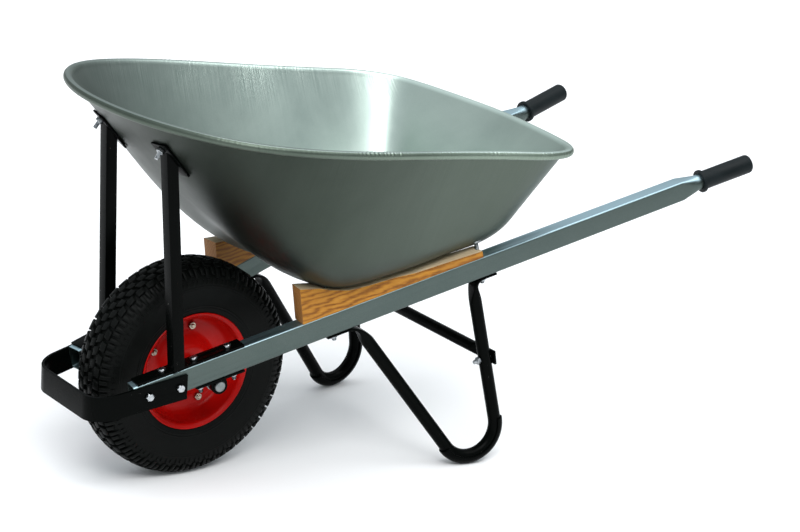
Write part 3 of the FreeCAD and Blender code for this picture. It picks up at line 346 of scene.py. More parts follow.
SLOT_MATERIAL = {
    "galvanised_tray": M_TRAY_OUT_PAINTED_SHADE, "galvanised_rail": M_RAIL, "black_paint": M_BLACK, "red_paint": M_RED,
    "timber": M_WOOD, "grip_rubber": M_GRIP, "tyre_rubber": M_TYRE, "tube_rubber": M_TUBE,
    "valve_plastic": M_TUBE, "zinc": M_ZINC, "yellow_zinc": M_YELLOW, "bright_steel": M_STEEL,
}
NODE_SLOT = {row["node"]: row["material_slot"] for row in frame["record"]["subparts"]}
NODE_BODY = {node: body for body, nodes in frame["record"]["behaviour"]["bodies"].items() for node in nodes}

for node, piece in frame["nodes"].items():
    piece.data.materials.clear()
    piece.data.materials.append(SLOT_MATERIAL[NODE_SLOT[node]])


# ---------------------------------------------------------------- mesh helpers
def link(name, mesh, node, replaced, materials=None):
    """Object from a mesh that rides with a CAD node's body and stands for the nodes given."""
    piece = bpy.data.objects.new(name, mesh)
    bpy.context.scene.collection.objects.link(piece)
    for material in materials or [SLOT_MATERIAL[NODE_SLOT[node]]]:
        mesh.materials.append(material)
    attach(piece, NODE_BODY[node])
    if replaced:
        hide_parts(*replaced)
    return piece


def sharpen(made, degrees):
    """Smooth faces with the edges sharper than an angle kept crisp."""
    limit = math.radians(degrees)
    for face in made.faces:
        face.smooth = True
    for edge in made.edges:
        if len(edge.link_faces) == 2:
            edge.smooth = edge.calc_face_angle(0.0) < limit
        else:
            edge.smooth = False


def to_mesh(made, name, sharp_deg=32.0):
    """Mesh from a bmesh, smooth but for its sharp edges."""
    sharpen(made, sharp_deg)
    mesh = bpy.data.meshes.new(name)
    made.to_mesh(mesh)
    made.free()
    return mesh


def welded_copy(node):
    """The CAD node's mesh as one joined surface."""
    made = bmesh.new()
    made.from_mesh(frame["nodes"][node].data)
    bmesh.ops.remove_doubles(made, verts=made.verts, dist=0.00001)
    return made


def finished_copy(node, bevel):
    """A CAD node again, with its hard edges rounded over."""
    made = welded_copy(node)
    flat, hard_angle = math.radians(0.6), math.radians(30.0)
    bmesh.ops.dissolve_limit(made, angle_limit=flat, verts=made.verts, edges=made.edges)
    hard = [e for e in made.edges if len(e.link_faces) == 2 and e.calc_face_angle(0.0) > hard_angle]
    bmesh.ops.bevel(made, geom=hard, offset=bevel * MM, offset_type="OFFSET", segments=2, profile=0.6,
                    affect="EDGES", clamp_overlap=True)
    bmesh.ops.triangulate(made, faces=[f for f in made.faces if len(f.verts) > 4])
    return link(node + "_finished", to_mesh(made, node), node, [node])


def islands(node):
    """Corner points of each separate solid in a CAD node."""
    made = welded_copy(node)
    left = set(made.verts)
    groups = []
    while left:
        start = left.pop()
        group = [start]
        stack = [start]
        while stack:
            for edge in stack.pop().link_edges:
                for vert in edge.verts:
                    if vert in left:
                        left.discard(vert)
                        group.append(vert)
                        stack.append(vert)
        groups.append(np.array([v.co[:] for v in group]))
    made.free()
    return groups


# ---------------------------------------------------------------- tray
RIM_PLANE_Z, RIM_PLANE_SLOPE = 680.4, 0.122
FLOOR_PLANE_Z, FLOOR_PLANE_SLOPE = 313.6, -0.181
MOUTH_OUTLINE = ((183, 0), (156, 152), (64, 280), (-76, 326), (-290, 319), (-480, 311), (-575, 303),
                 (-627, 270), (-652, 205), (-668, 100), (-675, 0))
FLOOR_OUTLINE = ((-137.5, 0), (-126, 79), (-160, 174), (-219, 206.5), (-365, 200), (-470, 195), (-530, 189),
                 (-560, 164), (-570, 110), (-575, 55), (-578, 0))
SIDE_TANGENT, FRONT_FLOOR_TANGENT, FRONT_WALL_TANGENT = 61.3, 152.0, 316.6
TRAY_SHEET = 1.5
BEAD_R, BEAD_CENTRE = 7.5, 6.4
BEAD_ANGLES = range(-130, 151, 14)
# bead faces from this angle up take the lighter inside copy; the rest take the darker outside copy, whose
# darkness is painted shade
BEAD_INSIDE_DEG = 60
TRAY_SEGMENTS = 1280
ROUND_STATIONS, WALL_STATIONS = 16, 12
FLOOR_SHARES = (0.25, 0.5, 0.75, 0.9)
FLOOR_MAP_DEPTH = 0.5


def unit(vectors):
    """Vectors of length one in the same directions."""
    return vectors / np.linalg.norm(vectors, axis=-1, keepdims=True)


def full_outline(half, height, slope):
    """Half outline and its mirror image, on a plane that slopes along x."""
    around = list(half) + [(x, -y) for x, y in half[-2:0:-1]]
    return np.array([(x, y, height + slope * x) for x, y in around], float)


MOUTH = full_outline(MOUTH_OUTLINE, RIM_PLANE_Z, RIM_PLANE_SLOPE)
FLOOR = full_outline(FLOOR_OUTLINE, FLOOR_PLANE_Z, FLOOR_PLANE_SLOPE)
RIM_UP = unit(np.array([-RIM_PLANE_SLOPE, 0.0, 1.0]))
RIM_GAPS = np.linalg.norm(np.roll(MOUTH, -1, 0) - MOUTH, axis=1)
RIM_KNOTS = np.concatenate([[0], np.cumsum(RIM_GAPS)])


def closed_spline(points, count):
    """Points along the smooth closed curve through the given points, in step with the rim's outline."""
    n = len(points)
    after = RIM_GAPS[:, None]
    before = np.roll(RIM_GAPS, 1)[:, None]
    system = np.zeros((n, n))
    for i in range(n):
        system[i, i - 1] += before[i, 0]
        system[i, i] += 2 * (before[i, 0] + after[i, 0])
        system[i, (i + 1) % n] += after[i, 0]
    slopes = (np.roll(points, -1, 0) - points) / after - (points - np.roll(points, 1, 0)) / before
    bend = np.linalg.solve(system, 6 * slopes)
    u = np.linspace(0, RIM_KNOTS[-1], count, endpoint=False)
    i = np.clip(np.searchsorted(RIM_KNOTS, u, side="right") - 1, 0, n - 1)
    j = (i + 1) % n
    h = after[i]
    b = (u - RIM_KNOTS[i])[:, None] / h
    a = 1 - b
    curved = ((a ** 3 - a) * bend[i] + (b ** 3 - b) * bend[j]) * h * h / 6
    return a * points[i] + b * points[j] + curved


def waves(dice, along, count, shortest, longest):
    """Sum of sine waves of random lengths, in millimetres, and random starts."""
    total = np.zeros(len(along))
    for _ in range(count):
        length = dice.uniform(shortest, longest)
        total += np.sin(along * 2 * math.pi / length + dice.uniform(0, 7))
    return total


def rim_wrinkles(along, top):
    """Height of the fine wrinkles that the rim's rolling leaves, mostly in patches along its sides."""
    dice = random.Random(7)
    fine = np.clip(waves(dice, along, 16, 4.5, 11.0) / 3.0, -1.6, 1.2)
    patches = np.clip(waves(dice, along, 5, 120, 420) / 2 + 0.5, 0, 1)
    sides = np.clip((np.abs(top[:, 1]) - 180) / 90, 0, 1) * np.clip((120 - top[:, 0]) / 160, 0.15, 1)
    return fine * (0.25 + 0.75 * patches) * (0.12 + 0.34 * sides)


def tray_mesh():
    """Tray from the floor's middle, up the outside, over the rolled rim and down the inside to the floor.

    Rings run round the tray. A station of 0 to 1 goes round the floor's edge, 1 to 2 up the wall.
    """
    middle = (FLOOR[0] + FLOOR[len(FLOOR) // 2]) / 2
    out = unit((FLOOR - middle)[:, :2])
    forward = np.maximum(0, out[:, :1]) ** 2
    on_floor = SIDE_TANGENT + (FRONT_FLOOR_TANGENT - SIDE_TANGENT) * forward
    on_wall = SIDE_TANGENT + (FRONT_WALL_TANGENT - SIDE_TANGENT) * forward
    floor_end = closed_spline(FLOOR + unit(middle - FLOOR) * on_floor, TRAY_SEGMENTS)
    wall_end = closed_spline(FLOOR + unit(MOUTH - FLOOR) * on_wall, TRAY_SEGMENTS)
    corner = closed_spline(FLOOR, TRAY_SEGMENTS)
    top = closed_spline(MOUTH, TRAY_SEGMENTS)

    def surface(station):
        if station <= 1:
            a, b, c = (1 - station) ** 2, 2 * station * (1 - station), station ** 2
            return floor_end * a + corner * b + wall_end * c
        return wall_end + (top - wall_end) * (station - 1)

    def normal(station):
        up = surface(min(station + 0.01, 2.0)) - surface(max(station - 0.01, 0.0))
        ring = surface(station)
        return unit(np.cross(np.roll(ring, -1, 0) - np.roll(ring, 1, 0), up))

    outward = unit(np.cross(np.roll(top, -1, 0) - np.roll(top, 1, 0), RIM_UP))
    steps = np.linalg.norm(np.roll(top, -1, 0) - top, axis=1)
    along = np.concatenate([[0], np.cumsum(steps)[:-1]])

    wrinkle = rim_wrinkles(along, top)
    rings, depths, sides_in = [], [], []

    def add(ring, depth, inside):
        rings.append(ring)
        depths.append(depth)
        sides_in.append(inside)

    wall_length = float(np.mean(np.linalg.norm(top - wall_end, axis=1)))
    stations = [i / ROUND_STATIONS for i in range(ROUND_STATIONS)]
    stations += [1 + i / WALL_STATIONS for i in range(WALL_STATIONS)] + [1.965]
    for share in FLOOR_SHARES:
        add(middle + (floor_end - middle) * share, FLOOR_MAP_DEPTH, 0)
    for station in stations:
        add(surface(station), (2 - station) * wall_length * MM, 0)
    for degrees in BEAD_ANGLES:
        angle = math.radians(degrees)
        dip = wrinkle[:, None] * (0.35 + 0.65 * max(0.0, math.cos(angle - 0.5)))
        centre = top + outward * BEAD_CENTRE
        spoke = outward * math.cos(angle) + RIM_UP * math.sin(angle)
        add(centre + spoke * (BEAD_R + dip), 0.0, 0 if degrees < BEAD_INSIDE_DEG else 1)
    for station in [2.0] + stations[::-1]:
        add(surface(station) - normal(station) * TRAY_SHEET, (2 - station) * wall_length * MM + 0.004, 1)
    lift = unit(np.array([-FLOOR_PLANE_SLOPE, 0.0, 1.0])) * TRAY_SHEET
    for share in reversed(FLOOR_SHARES):
        add(middle + (floor_end - middle) * share + lift, FLOOR_MAP_DEPTH, 1)

    made = bmesh.new()
    layer = made.loops.layers.uv.new("map")
    verts = [[made.verts.new(at(*p)) for p in ring] for ring in rings]
    total = float(along[-1] + steps[-1])

    def face(corners, uvs, inside):
        new = made.faces.new(corners)
        new.material_index = inside
        for loop, uv in zip(new.loops, uvs):
            loop[layer].uv = uv

    for r in range(len(rings) - 1):
        for c in range(TRAY_SEGMENTS):
            d = (c + 1) % TRAY_SEGMENTS
            u0, u1 = along[c] * MM, (along[c] + steps[c]) * MM
            face((verts[r][c], verts[r][d], verts[r + 1][d], verts[r + 1][c]),
                 ((u0, depths[r]), (u1, depths[r]), (u1, depths[r + 1]), (u0, depths[r + 1])),
                 sides_in[r + 1])
    for r, height in ((0, 0.0), (len(rings) - 1, 1.0)):
        hub = made.verts.new(at(*(middle + lift * height)))
        for c in range(TRAY_SEGMENTS):
            d = (c + 1) % TRAY_SEGMENTS
            corners = (verts[r][d], verts[r][c], hub) if r == 0 else (verts[r][c], verts[r][d], hub)
            corner_map = ((0, FLOOR_MAP_DEPTH), (total * MM, FLOOR_MAP_DEPTH), (0, FLOOR_MAP_DEPTH))
            face(corners, corner_map, int(height))
    bmesh.ops.recalc_face_normals(made, faces=made.faces)
    return to_mesh(made, "tray", 50.0)


link("tray_sheet", tray_mesh(), "tray", ["tray", "rim_wire"], [M_TRAY_OUT_PAINTED_SHADE, M_TRAY_IN])


# ---------------------------------------------------------------- wheel
def open_spline(points, count):
    """Evenly spaced points on a smooth open curve through points."""
    points = np.array(points, float)
    n = len(points)
    gaps = np.linalg.norm(np.diff(points, axis=0), axis=1)
    knots = np.concatenate([[0], np.cumsum(gaps)])
    system = np.zeros((n, n))
    right = np.zeros((n, points.shape[1]))
    system[0, 0] = system[-1, -1] = 1
    for i in range(1, n - 1):
        before, after = gaps[i - 1], gaps[i]
        system[i, i - 1], system[i, i], system[i, i + 1] = before, 2 * (before + after), after
        right[i] = 6 * ((points[i + 1] - points[i]) / after - (points[i] - points[i - 1]) / before)
    bend = np.linalg.solve(system, right)
    u = np.linspace(0, knots[-1], count)
    i = np.clip(np.searchsorted(knots, u, side="right") - 1, 0, n - 2)
    h = gaps[i][:, None]
    b = ((u - knots[i]) / gaps[i])[:, None]
    a = 1 - b
    curved = ((a ** 3 - a) * bend[i] + (b ** 3 - b) * bend[i + 1]) * h * h / 6
    return a * points[i] + b * points[i + 1] + curved


def rounded(points, radii, steps=6):
    """Polyline with its inner corners rounded by quadratic curves that start radii away from them."""
    points = [Vector(p) for p in points]
    out = [points[0]]
    for before, here, after, reach in zip(points, points[1:], points[2:], radii):
        into, away = (here - before), (after - here)
        cut = min(reach, into.length * 0.48, away.length * 0.48)
        start, end = here - into.normalized() * cut, here + away.normalized() * cut
        for k in range(steps + 1):
            t = k / steps
            out.append(start * (1 - t) ** 2 + here * 2 * t * (1 - t) + end * t * t)
    out.append(points[-1])
    return out


def lathe(name, profile, segments):
    """Surface of revolution about the axle from (y, radius) points in millimetres."""
    made = bmesh.new()
    verts = []
    for s in range(segments):
        turn = 2 * math.pi * s / segments
        ring = []
        for y, r in profile:
            ring.append(made.verts.new(at(r * math.cos(turn), y, AXLE.z / MM + r * math.sin(turn))))
        verts.append(ring)
    count = len(profile)
    for s in range(segments):
        following = verts[(s + 1) % segments]
        for p in range(count):
            q = (p + 1) % count
            made.faces.new((verts[s][p], verts[s][q], following[q], following[p]))
    bmesh.ops.recalc_face_normals(made, faces=made.faces)
    return to_mesh(made, name, 38.0)


TYRE_OUTER = ((0, 200), (16, 199.3), (30, 196.4), (40.5, 190), (46.6, 180.5), (49.4, 168), (50, 152),
              (48.8, 136), (46.6, 121), (43.8, 110.5), (39.5, 104))
TREAD_COUNT = 52
TREAD_DEPTH = 6.0
TREAD_R = 190.0              # radius at which the lengths of the blocks are measured
BLOCK_ROOT = 0.6             # how far a block is sunk into the groove's floor
BLOCK_TAPER = 0.1            # how much shorter a block is at its outer end
SHOULDER_LUGS = ((0.28, 15.0), (0.72, 21.0))
BLOCK_LEVELS = ((1.0, None), (0.985, -1.0), (0.93, -0.25), (0.84, 0.0))


def tread_profile():
    """Outer line of half the tyre by distance from its crown, with unit normals."""
    line = open_spline(TYRE_OUTER, 240)
    tangent = unit(np.gradient(line, axis=0))
    normal = np.stack([-tangent[:, 1], tangent[:, 0]], axis=1)
    normal *= np.sign(normal[:, :1] * (line[:, :1] * 1.0 + 0.5) + normal[:, 1:] * (line[:, 1:] - 150.0))
    far = np.concatenate([[0], np.cumsum(np.linalg.norm(np.diff(line, axis=0), axis=1))])
    return line, normal, far


TREAD_LINE, TREAD_NORMAL, TREAD_FAR = tread_profile()


def tread_point(turn, across, height):
    """Point on the tyre from an angle, a signed distance from the crown and a height over the tread's top."""
    side = -1.0 if across < 0 else 1.0
    y, r = (np.interp(abs(across), TREAD_FAR, TREAD_LINE[:, k]) for k in (0, 1))
    ny, nr = (np.interp(abs(across), TREAD_FAR, TREAD_NORMAL[:, k]) for k in (0, 1))
    if abs(across) < 1.0:
        ny, nr = 0.0, 1.0
    y, r = (y + ny * height) * side, r + nr * height
    return at(r * math.cos(turn), y, AXLE.z / MM + r * math.sin(turn))


def groove_depth(across):
    """How far the carcass lies below the tread's top, by distance from the crown."""
    return TREAD_DEPTH * float(np.interp(abs(across), (0, 44, 58, 70), (1.0, 0.95, 0.35, 0.0)))


def tyre_carcass():
    """Carcass: grooves' floor, sidewall with raised rings, and feet in the rim."""
    count = 150
    far_end = TREAD_FAR[-1]
    samples = [far_end * (i / count) for i in range(count + 1)]
    raised = {74.0: 0.7, 78.0: 0.35, 112.0: 0.9, 116.5: 0.6}
    half = []
    for far in samples:
        y, r = (np.interp(far, TREAD_FAR, TREAD_LINE[:, k]) for k in (0, 1))
        ny, nr = (np.interp(far, TREAD_FAR, TREAD_NORMAL[:, k]) for k in (0, 1))
        lift = sum(h * math.exp(-((far - c) / 0.9) ** 2) for c, h in raised.items())
        depth = groove_depth(far)
        half.append((y + ny * (lift - depth), r + nr * (lift - depth)))
    half[0] = (0.0, half[0][1])
    inner = [(34.0, 104.0), (40.0, 122.0), (43.5, 150.0), (38.0, 178.0), (20.0, 187.5)]
    outline = half + inner + [(-y, r) for y, r in reversed(inner)] + [(-y, r) for y, r in reversed(half[1:])]
    return lathe("tyre", outline, 256)


def block_border(columns, rows):
    """Grid positions round the outline of a block."""
    return ([(i, 0) for i in range(columns)] + [(columns, j) for j in range(rows)]
            + [(columns - i, rows) for i in range(columns)] + [(0, rows - j) for j in range(rows)])


def add_block(made, turn, across, length, width, skew, height, columns=3, rows=3):
    """Tread block with a crowned top and slightly sloping sides, centred at a distance from the crown."""

    def spot(i, j, scale, lift):
        """New corner over grid position i, j, drawn in by scale; with no lift, in the groove's floor."""
        u = 0.5 + (i / columns - 0.5) * scale
        v = 0.5 + (j / rows - 0.5) * (1 - (1 - scale) * length / width * 0.9)
        far = across + width * (v - 0.5)
        if lift is None:
            lift = -groove_depth(far) - BLOCK_ROOT
        shift = ((u - 0.5) * length * (1 - BLOCK_TAPER * v) + skew * (v - 0.5)) / TREAD_R
        return made.verts.new(tread_point(turn + shift, far, lift))

    border = block_border(columns, rows)
    loops = []
    for scale, drop in BLOCK_LEVELS:
        lift = None if drop is None else height + drop
        loops.append([spot(i, j, scale, lift) for i, j in border])
    for lower, upper in zip(loops, loops[1:]):
        for k in range(len(border)):
            after = (k + 1) % len(border)
            made.faces.new((lower[k], lower[after], upper[after], upper[k]))
    grid = dict(zip(border, loops[-1]))
    for i in range(1, columns):
        for j in range(1, rows):
            grid[(i, j)] = spot(i, j, BLOCK_LEVELS[-1][0], height + 0.15)
    for i in range(columns):
        for j in range(rows):
            made.faces.new((grid[(i, j)], grid[(i + 1, j)], grid[(i + 1, j + 1)], grid[(i, j + 1)]))


def tread_blocks():
    """Rows of staggered blocks and shoulder lugs right round the tyre."""
    made = bmesh.new()
    pitch = 2 * math.pi / TREAD_COUNT
    dice = random.Random(3)
    for k in range(TREAD_COUNT):
        turn = k * pitch
        wear = dice.uniform(-0.25, 0.0)
        add_block(made, turn, 0.0, 15.0, 11.5, 2.5, wear)
        for side in (1, -1):
            add_block(made, turn + pitch * 0.5, side * 14.6, 16.0, 12.0, 3.5 * side, wear)
            add_block(made, turn, side * 29.2, 17.0, 12.0, -3.0 * side, wear)
            for share, reach in SHOULDER_LUGS:
                shoulder = turn + pitch * share
                add_block(made, shoulder, side * (37.5 + reach / 2), 7.6, reach, 0.0, -0.4, 2, 4)
                add_block(made, shoulder, side * 65.5, 2.6, 9.0, 0.0, 0.45)
    bmesh.ops.recalc_face_normals(made, faces=made.faces)
    return to_mesh(made, "tread", 42.0)


link("tyre_carcass", tyre_carcass(), "tyre", ["tyre"])
link("tyre_tread", tread_blocks(), "tyre", [])

RIM_SHEET = 2.5
RIM_FACE = ((24, 23), (24, 41), (3, 59), (3, 84), (10, 92), (26, 98.5), (40, 100.5), (43.2, 104), (46, 108.2),
            (44.6, 109.6))
RIM_FACE_ROUNDS = (7, 9, 7, 6, 8, 5, 3, 1.0)


def rim_mesh(side):
    """Pressed half of the rim, dished and turned out to a flange, with the sheet's thickness."""
    face = [tuple(p) for p in rounded(RIM_FACE, RIM_FACE_ROUNDS)]
    line = np.array(face)
    tangent = unit(np.gradient(line, axis=0))
    back = line + np.stack([-tangent[:, 1], tangent[:, 0]], axis=1) * RIM_SHEET
    back[:, 0] = np.maximum(back[:, 0], 0.0)
    outline = [(y * side, r) for y, r in face] + [(y * side, r) for y, r in back[::-1].tolist()]
    return lathe("rim_half", outline, 192)


link("left_rim_pressing", rim_mesh(1), "left_rim_half", ["left_rim_half"])
link("right_rim_pressing", rim_mesh(-1), "right_rim_half", ["right_rim_half"])


def ring_profile(start, end, outer, inner, chamfer):
    """Closed (y, radius) outline of a ring with chamfered edges."""
    return [(start, outer - chamfer), (start + chamfer, outer), (end - chamfer, outer),
            (end, outer - chamfer), (end, inner + chamfer), (end - chamfer, inner),
            (start + chamfer, inner), (start, inner + chamfer)]


link("hub_tube", lathe("hub", ring_profile(-44, 44, 23, 20, 0.6), 96), "hub", ["hub"])
for side, label in ((1, "left"), (-1, "right")):
    ends = sorted((side * 32, side * 44))
    mesh = lathe("bearing", ring_profile(ends[0], ends[1], 20, 10.05, 0.5), 96)
    link(label + "_bearing_ring", mesh, label + "_bearing", [label + "_bearing"])
    ends = sorted((side * 44.5, side * 106))
    mesh = lathe("spacer", ring_profile(ends[0], ends[1], 14, 10, 0.8), 72)
    link(label + "_spacer_tube", mesh, label + "_axle_spacer", [label + "_axle_spacer"])
AXLE_OUTLINE = ((-130, 0.2), (-130, 8.6), (-128.6, 10), (128.6, 10), (130, 8.6), (130, 0.2))
link("axle_rod", lathe("axle", AXLE_OUTLINE, 72), "axle", ["axle"])


# ---------------------------------------------------------------- fasteners
HEAD_FLATS, HEAD_HEIGHT, NUT_HEIGHT = 13.0, 5.5, 6.5
ACROSS_CORNERS = HEAD_FLATS / math.sqrt(3) + 0.02
DOME_HEIGHT, DOME_R = 4.6, 10.3
THREAD_R, PITCH = 4.0, 1.25


def basis(axis):
    """Two unit vectors at right angles to axis."""
    helper = Vector((0, 1, 0)) if abs(axis.y) < 0.9 else Vector((1, 0, 0))
    side = axis.cross(helper).normalized()
    return side, axis.cross(side).normalized()


def turned(made, origin, axis, outline, segments, hexed=None, spin=0.0):
    """Solid of revolution from (distance along axis, radius) points in millimetres.

    Between the two distances in hexed its section is a hexagon.
    """
    side, other = basis(axis)
    rings = []
    for far, radius in outline:
        ring = []
        for s in range(segments):
            turn = 2 * math.pi * s / segments + spin
            r = radius
            if hexed and hexed[0] <= far <= hexed[1]:
                wedge_angle = (turn + math.pi / 6) % (math.pi / 3) - math.pi / 6
                r = min(radius, HEAD_FLATS / 2 / math.cos(wedge_angle))
            ring.append(made.verts.new(origin + axis * far * MM
                                       + side * r * MM * math.cos(turn) + other * r * MM * math.sin(turn)))
        rings.append(ring)
    for lower, upper in zip(rings, rings[1:]):
        for s in range(segments):
            t = (s + 1) % segments
            made.faces.new((lower[s], lower[t], upper[t], upper[s]))
    made.faces.new(rings[0][::-1])
    made.faces.new(rings[-1])


def thread_outline(start, end, radius):
    """Outline of a threaded shank: a ridge each pitch and a chamfered tip."""
    points = [(start, radius - 0.3)]
    far = start + PITCH * 0.5
    while far < end - 1.2:
        points += [(far, radius), (far + PITCH * 0.5, radius - 0.6)]
        far += PITCH
    return points + [(end - 1.0, radius - 0.15), (end, radius - 1.1)]


def hex_head(height):
    """Outline of a hexagon head from its seat: washer face, flats and a chamfered top."""
    return [(0.0, 5.7), (0.5, 5.9), (0.5, ACROSS_CORNERS), (height - 1.2, ACROSS_CORNERS),
            (height - 0.05, HEAD_FLATS / 2 - 0.45), (height, HEAD_FLATS / 2 - 0.9)]


def island_axis(points):
    """Ends of a bolt's axis, the narrow end first, and the unit vector from that end to the wide one."""
    centre = points.mean(0)
    _, vectors = np.linalg.eigh(np.cov((points - centre).T))
    axis = vectors[:, -1]
    spans = (points - centre) @ axis
    low, high = spans.min(), spans.max()
    radial = np.linalg.norm((points - centre) - np.outer(spans, axis), axis=1)
    near_low = radial[spans < low + 0.004].max()
    near_high = radial[spans > high - 0.004].max()
    if near_low > near_high:
        axis, low, high = -axis, -high, -low
    return Vector(centre + axis * low), Vector(centre + axis * high), Vector(axis)


def hex_bolts(node):
    """Hexagon bolts with threaded shanks, each on the line of one of the node's solids."""
    made = bmesh.new()
    for k, points in enumerate(islands(node)):
        tip, crown, axis = island_axis(points)
        seat = crown - axis * HEAD_HEIGHT * MM
        length = (crown - tip).length / MM - HEAD_HEIGHT
        turned(made, seat, axis, hex_head(HEAD_HEIGHT), 36, (0.5, HEAD_HEIGHT - 0.6), 0.4 * k)
        turned(made, seat + axis * 0.3 * MM, -axis, thread_outline(0.0, length + 0.3, THREAD_R), 20)
    bmesh.ops.recalc_face_normals(made, faces=made.faces)
    return link(node + "_threaded", to_mesh(made, node, 28.0), node, [node])


def domed_bolts(node):
    """Flat-seated bolts with a shallow domed head inside the tray."""
    made = bmesh.new()
    dome = [(DOME_HEIGHT * math.sin(a), max(0.3, DOME_R * math.cos(a))) for a in np.linspace(0, 1.55, 8)]
    for points in islands(node):
        tip, crown, axis = island_axis(points)
        seat = crown - axis * DOME_HEIGHT * MM
        turned(made, seat, axis, [(-0.3, DOME_R)] + dome, 32)
        length = (crown - tip).length / MM - DOME_HEIGHT
        turned(made, seat, -axis, thread_outline(0.0, length, THREAD_R), 20)
    bmesh.ops.recalc_face_normals(made, faces=made.faces)
    return link(node + "_threaded", to_mesh(made, node, 35.0), node, [node])


def hex_nuts(node):
    """Chamfered hexagon nuts, each in the place of one of the node's solids."""
    made = bmesh.new()
    for k, points in enumerate(islands(node)):
        centre = points.mean(0)
        _, vectors = np.linalg.eigh(np.cov((points - centre).T))
        widths = np.ptp((points - centre) @ vectors, axis=0)
        axis = Vector(vectors[:, int(np.argmin(abs(widths / MM - NUT_HEIGHT)))])
        start = Vector(centre) - axis * NUT_HEIGHT / 2 * MM
        outline = [(0.0, 4.1), (0.0, 6.0), (0.9, ACROSS_CORNERS), (NUT_HEIGHT - 0.9, ACROSS_CORNERS),
                   (NUT_HEIGHT, 6.0), (NUT_HEIGHT, 4.1)]
        turned(made, start, axis, outline, 36, (0.5, NUT_HEIGHT - 0.5), 0.3 * k)
    bmesh.ops.recalc_face_normals(made, faces=made.faces)
    return link(node + "_chamfered", to_mesh(made, node, 28.0), node, [node])


for node in ("stay_foot_bolts", "guard_bolts", "brace_bolts", "rim_bolts"):
    hex_bolts(node)
for node in ("tray_bolts", "stay_top_bolts"):
    domed_bolts(node)
for node in ("tray_bolt_nuts", "stay_foot_nuts", "stay_top_nuts", "guard_nuts", "brace_nuts", "rim_nuts"):
    hex_nuts(node)


# ---------------------------------------------------------------- legs
RAIL_FRONT = np.array((170.0, 116.5, 221.0))
RISE, SPLAY = math.radians(14.8), math.radians(8.4)
ALONG = np.array((-math.cos(RISE) * math.cos(SPLAY), math.cos(RISE) * math.sin(SPLAY), math.sin(RISE)))
INWARD = np.array((-math.sin(SPLAY), -math.cos(SPLAY), 0.0))
ABOVE = np.cross(ALONG, INWARD)
RAIL_MIDDLE, RAIL_DEPTH, RAIL_TAPER = 16.0, 43.5, 0.0051
LEG_R, LEG_TAB, LEG_TAB_WIDTH = 12.0, 5.0, 30.0
LEG_BEND_R, SHOE_R = 56.0, 15.0
LEG_TAB_ENDS = (372.0, 722.0)
LEG_BOLTS = (388.0, 698.0)
LEG_NECKS = ((442.0, 22.0), (676.0, 24.0))
NECK_CHANGE = 46.0           # length over which the flattened end becomes a round tube
LEG_AROUND = 36


def under_rail(along, below):
    """Point under the left rail's middle line, at a distance below its underside."""
    down = RAIL_DEPTH - RAIL_TAPER * along + below
    return RAIL_FRONT + ALONG * along + INWARD * RAIL_MIDDLE - ABOVE * down


def below_rail(point):
    """Distance of a point below the rail's underside."""
    offset = point - RAIL_FRONT
    return -(offset @ ABOVE) - (RAIL_DEPTH - RAIL_TAPER * (offset @ ALONG))


LEG_GROUND = np.array((-491.0, 224.5, 0.0))
LEG_SIDE = unit(np.cross(under_rail(LEG_BOLTS[1], 0) - LEG_GROUND, under_rail(LEG_BOLTS[0], 0) - LEG_GROUND))
LEG_SIDE = LEG_SIDE * np.sign(LEG_SIDE[1])
LEG_FORWARDS = unit(np.cross(LEG_SIDE, (0.0, 0.0, 1.0)))
LEG_UP = unit(np.cross(LEG_FORWARDS, LEG_SIDE))
LEG_UP, LEG_FORWARDS = LEG_UP * np.sign(LEG_UP[2]), LEG_FORWARDS * np.sign(LEG_FORWARDS[0])


def leg_point(flat):
    """Point in the leg's plane from its distances forward of the bend's middle and above the ground."""
    return LEG_GROUND + LEG_FORWARDS * flat[0] + LEG_UP * flat[1]


def leg_path():
    """Centre line of the left leg from tab to tab, with the lengths at which its ends are still flat."""
    centre = np.array((0.0, LEG_BEND_R + SHOE_R))
    touches, corners = [], []
    for (along, below), side in zip(LEG_NECKS, (-1, 1)):
        neck = under_rail(along, below) - LEG_GROUND
        flat = np.array((neck @ LEG_FORWARDS, neck @ LEG_UP))
        gap = flat - centre
        angle = math.atan2(gap[1], gap[0]) + side * math.acos(LEG_BEND_R / np.linalg.norm(gap))
        touch = leg_point(centre + LEG_BEND_R * np.array((math.cos(angle), math.sin(angle))))
        top = leg_point(flat)
        rate = below_rail(top) - below_rail(touch)
        corners.append(touch + (top - touch) * (LEG_TAB / 2 - below_rail(touch)) / rate)
        touches.append(angle)
    start, end = (a - 2 * math.pi if a > 0 else a for a in touches)
    bend = []
    for a in np.linspace(start, end, 48):
        bend.append(leg_point(centre + LEG_BEND_R * np.array((math.cos(a), math.sin(a)))))
    front = rounded([under_rail(LEG_TAB_ENDS[0], LEG_TAB / 2), corners[0], bend[0]], [26.0], 14)
    rear = rounded([bend[-1], corners[1], under_rail(LEG_TAB_ENDS[1], LEG_TAB / 2)], [20.0], 14)
    line = np.array([tuple(p) for p in front[:-1]] + [tuple(p) for p in bend] + [tuple(p) for p in rear[1:]])
    far = np.concatenate([[0], np.cumsum(np.linalg.norm(np.diff(line, axis=0), axis=1))])
    even = np.linspace(0, far[-1], 320)
    path = np.stack([np.interp(even, far, line[:, k]) for k in range(3)], axis=1)
    lengths = [np.linalg.norm(corners[0] - line[0]), far[-1] - np.linalg.norm(line[-1] - corners[1])]
    return path, even, lengths


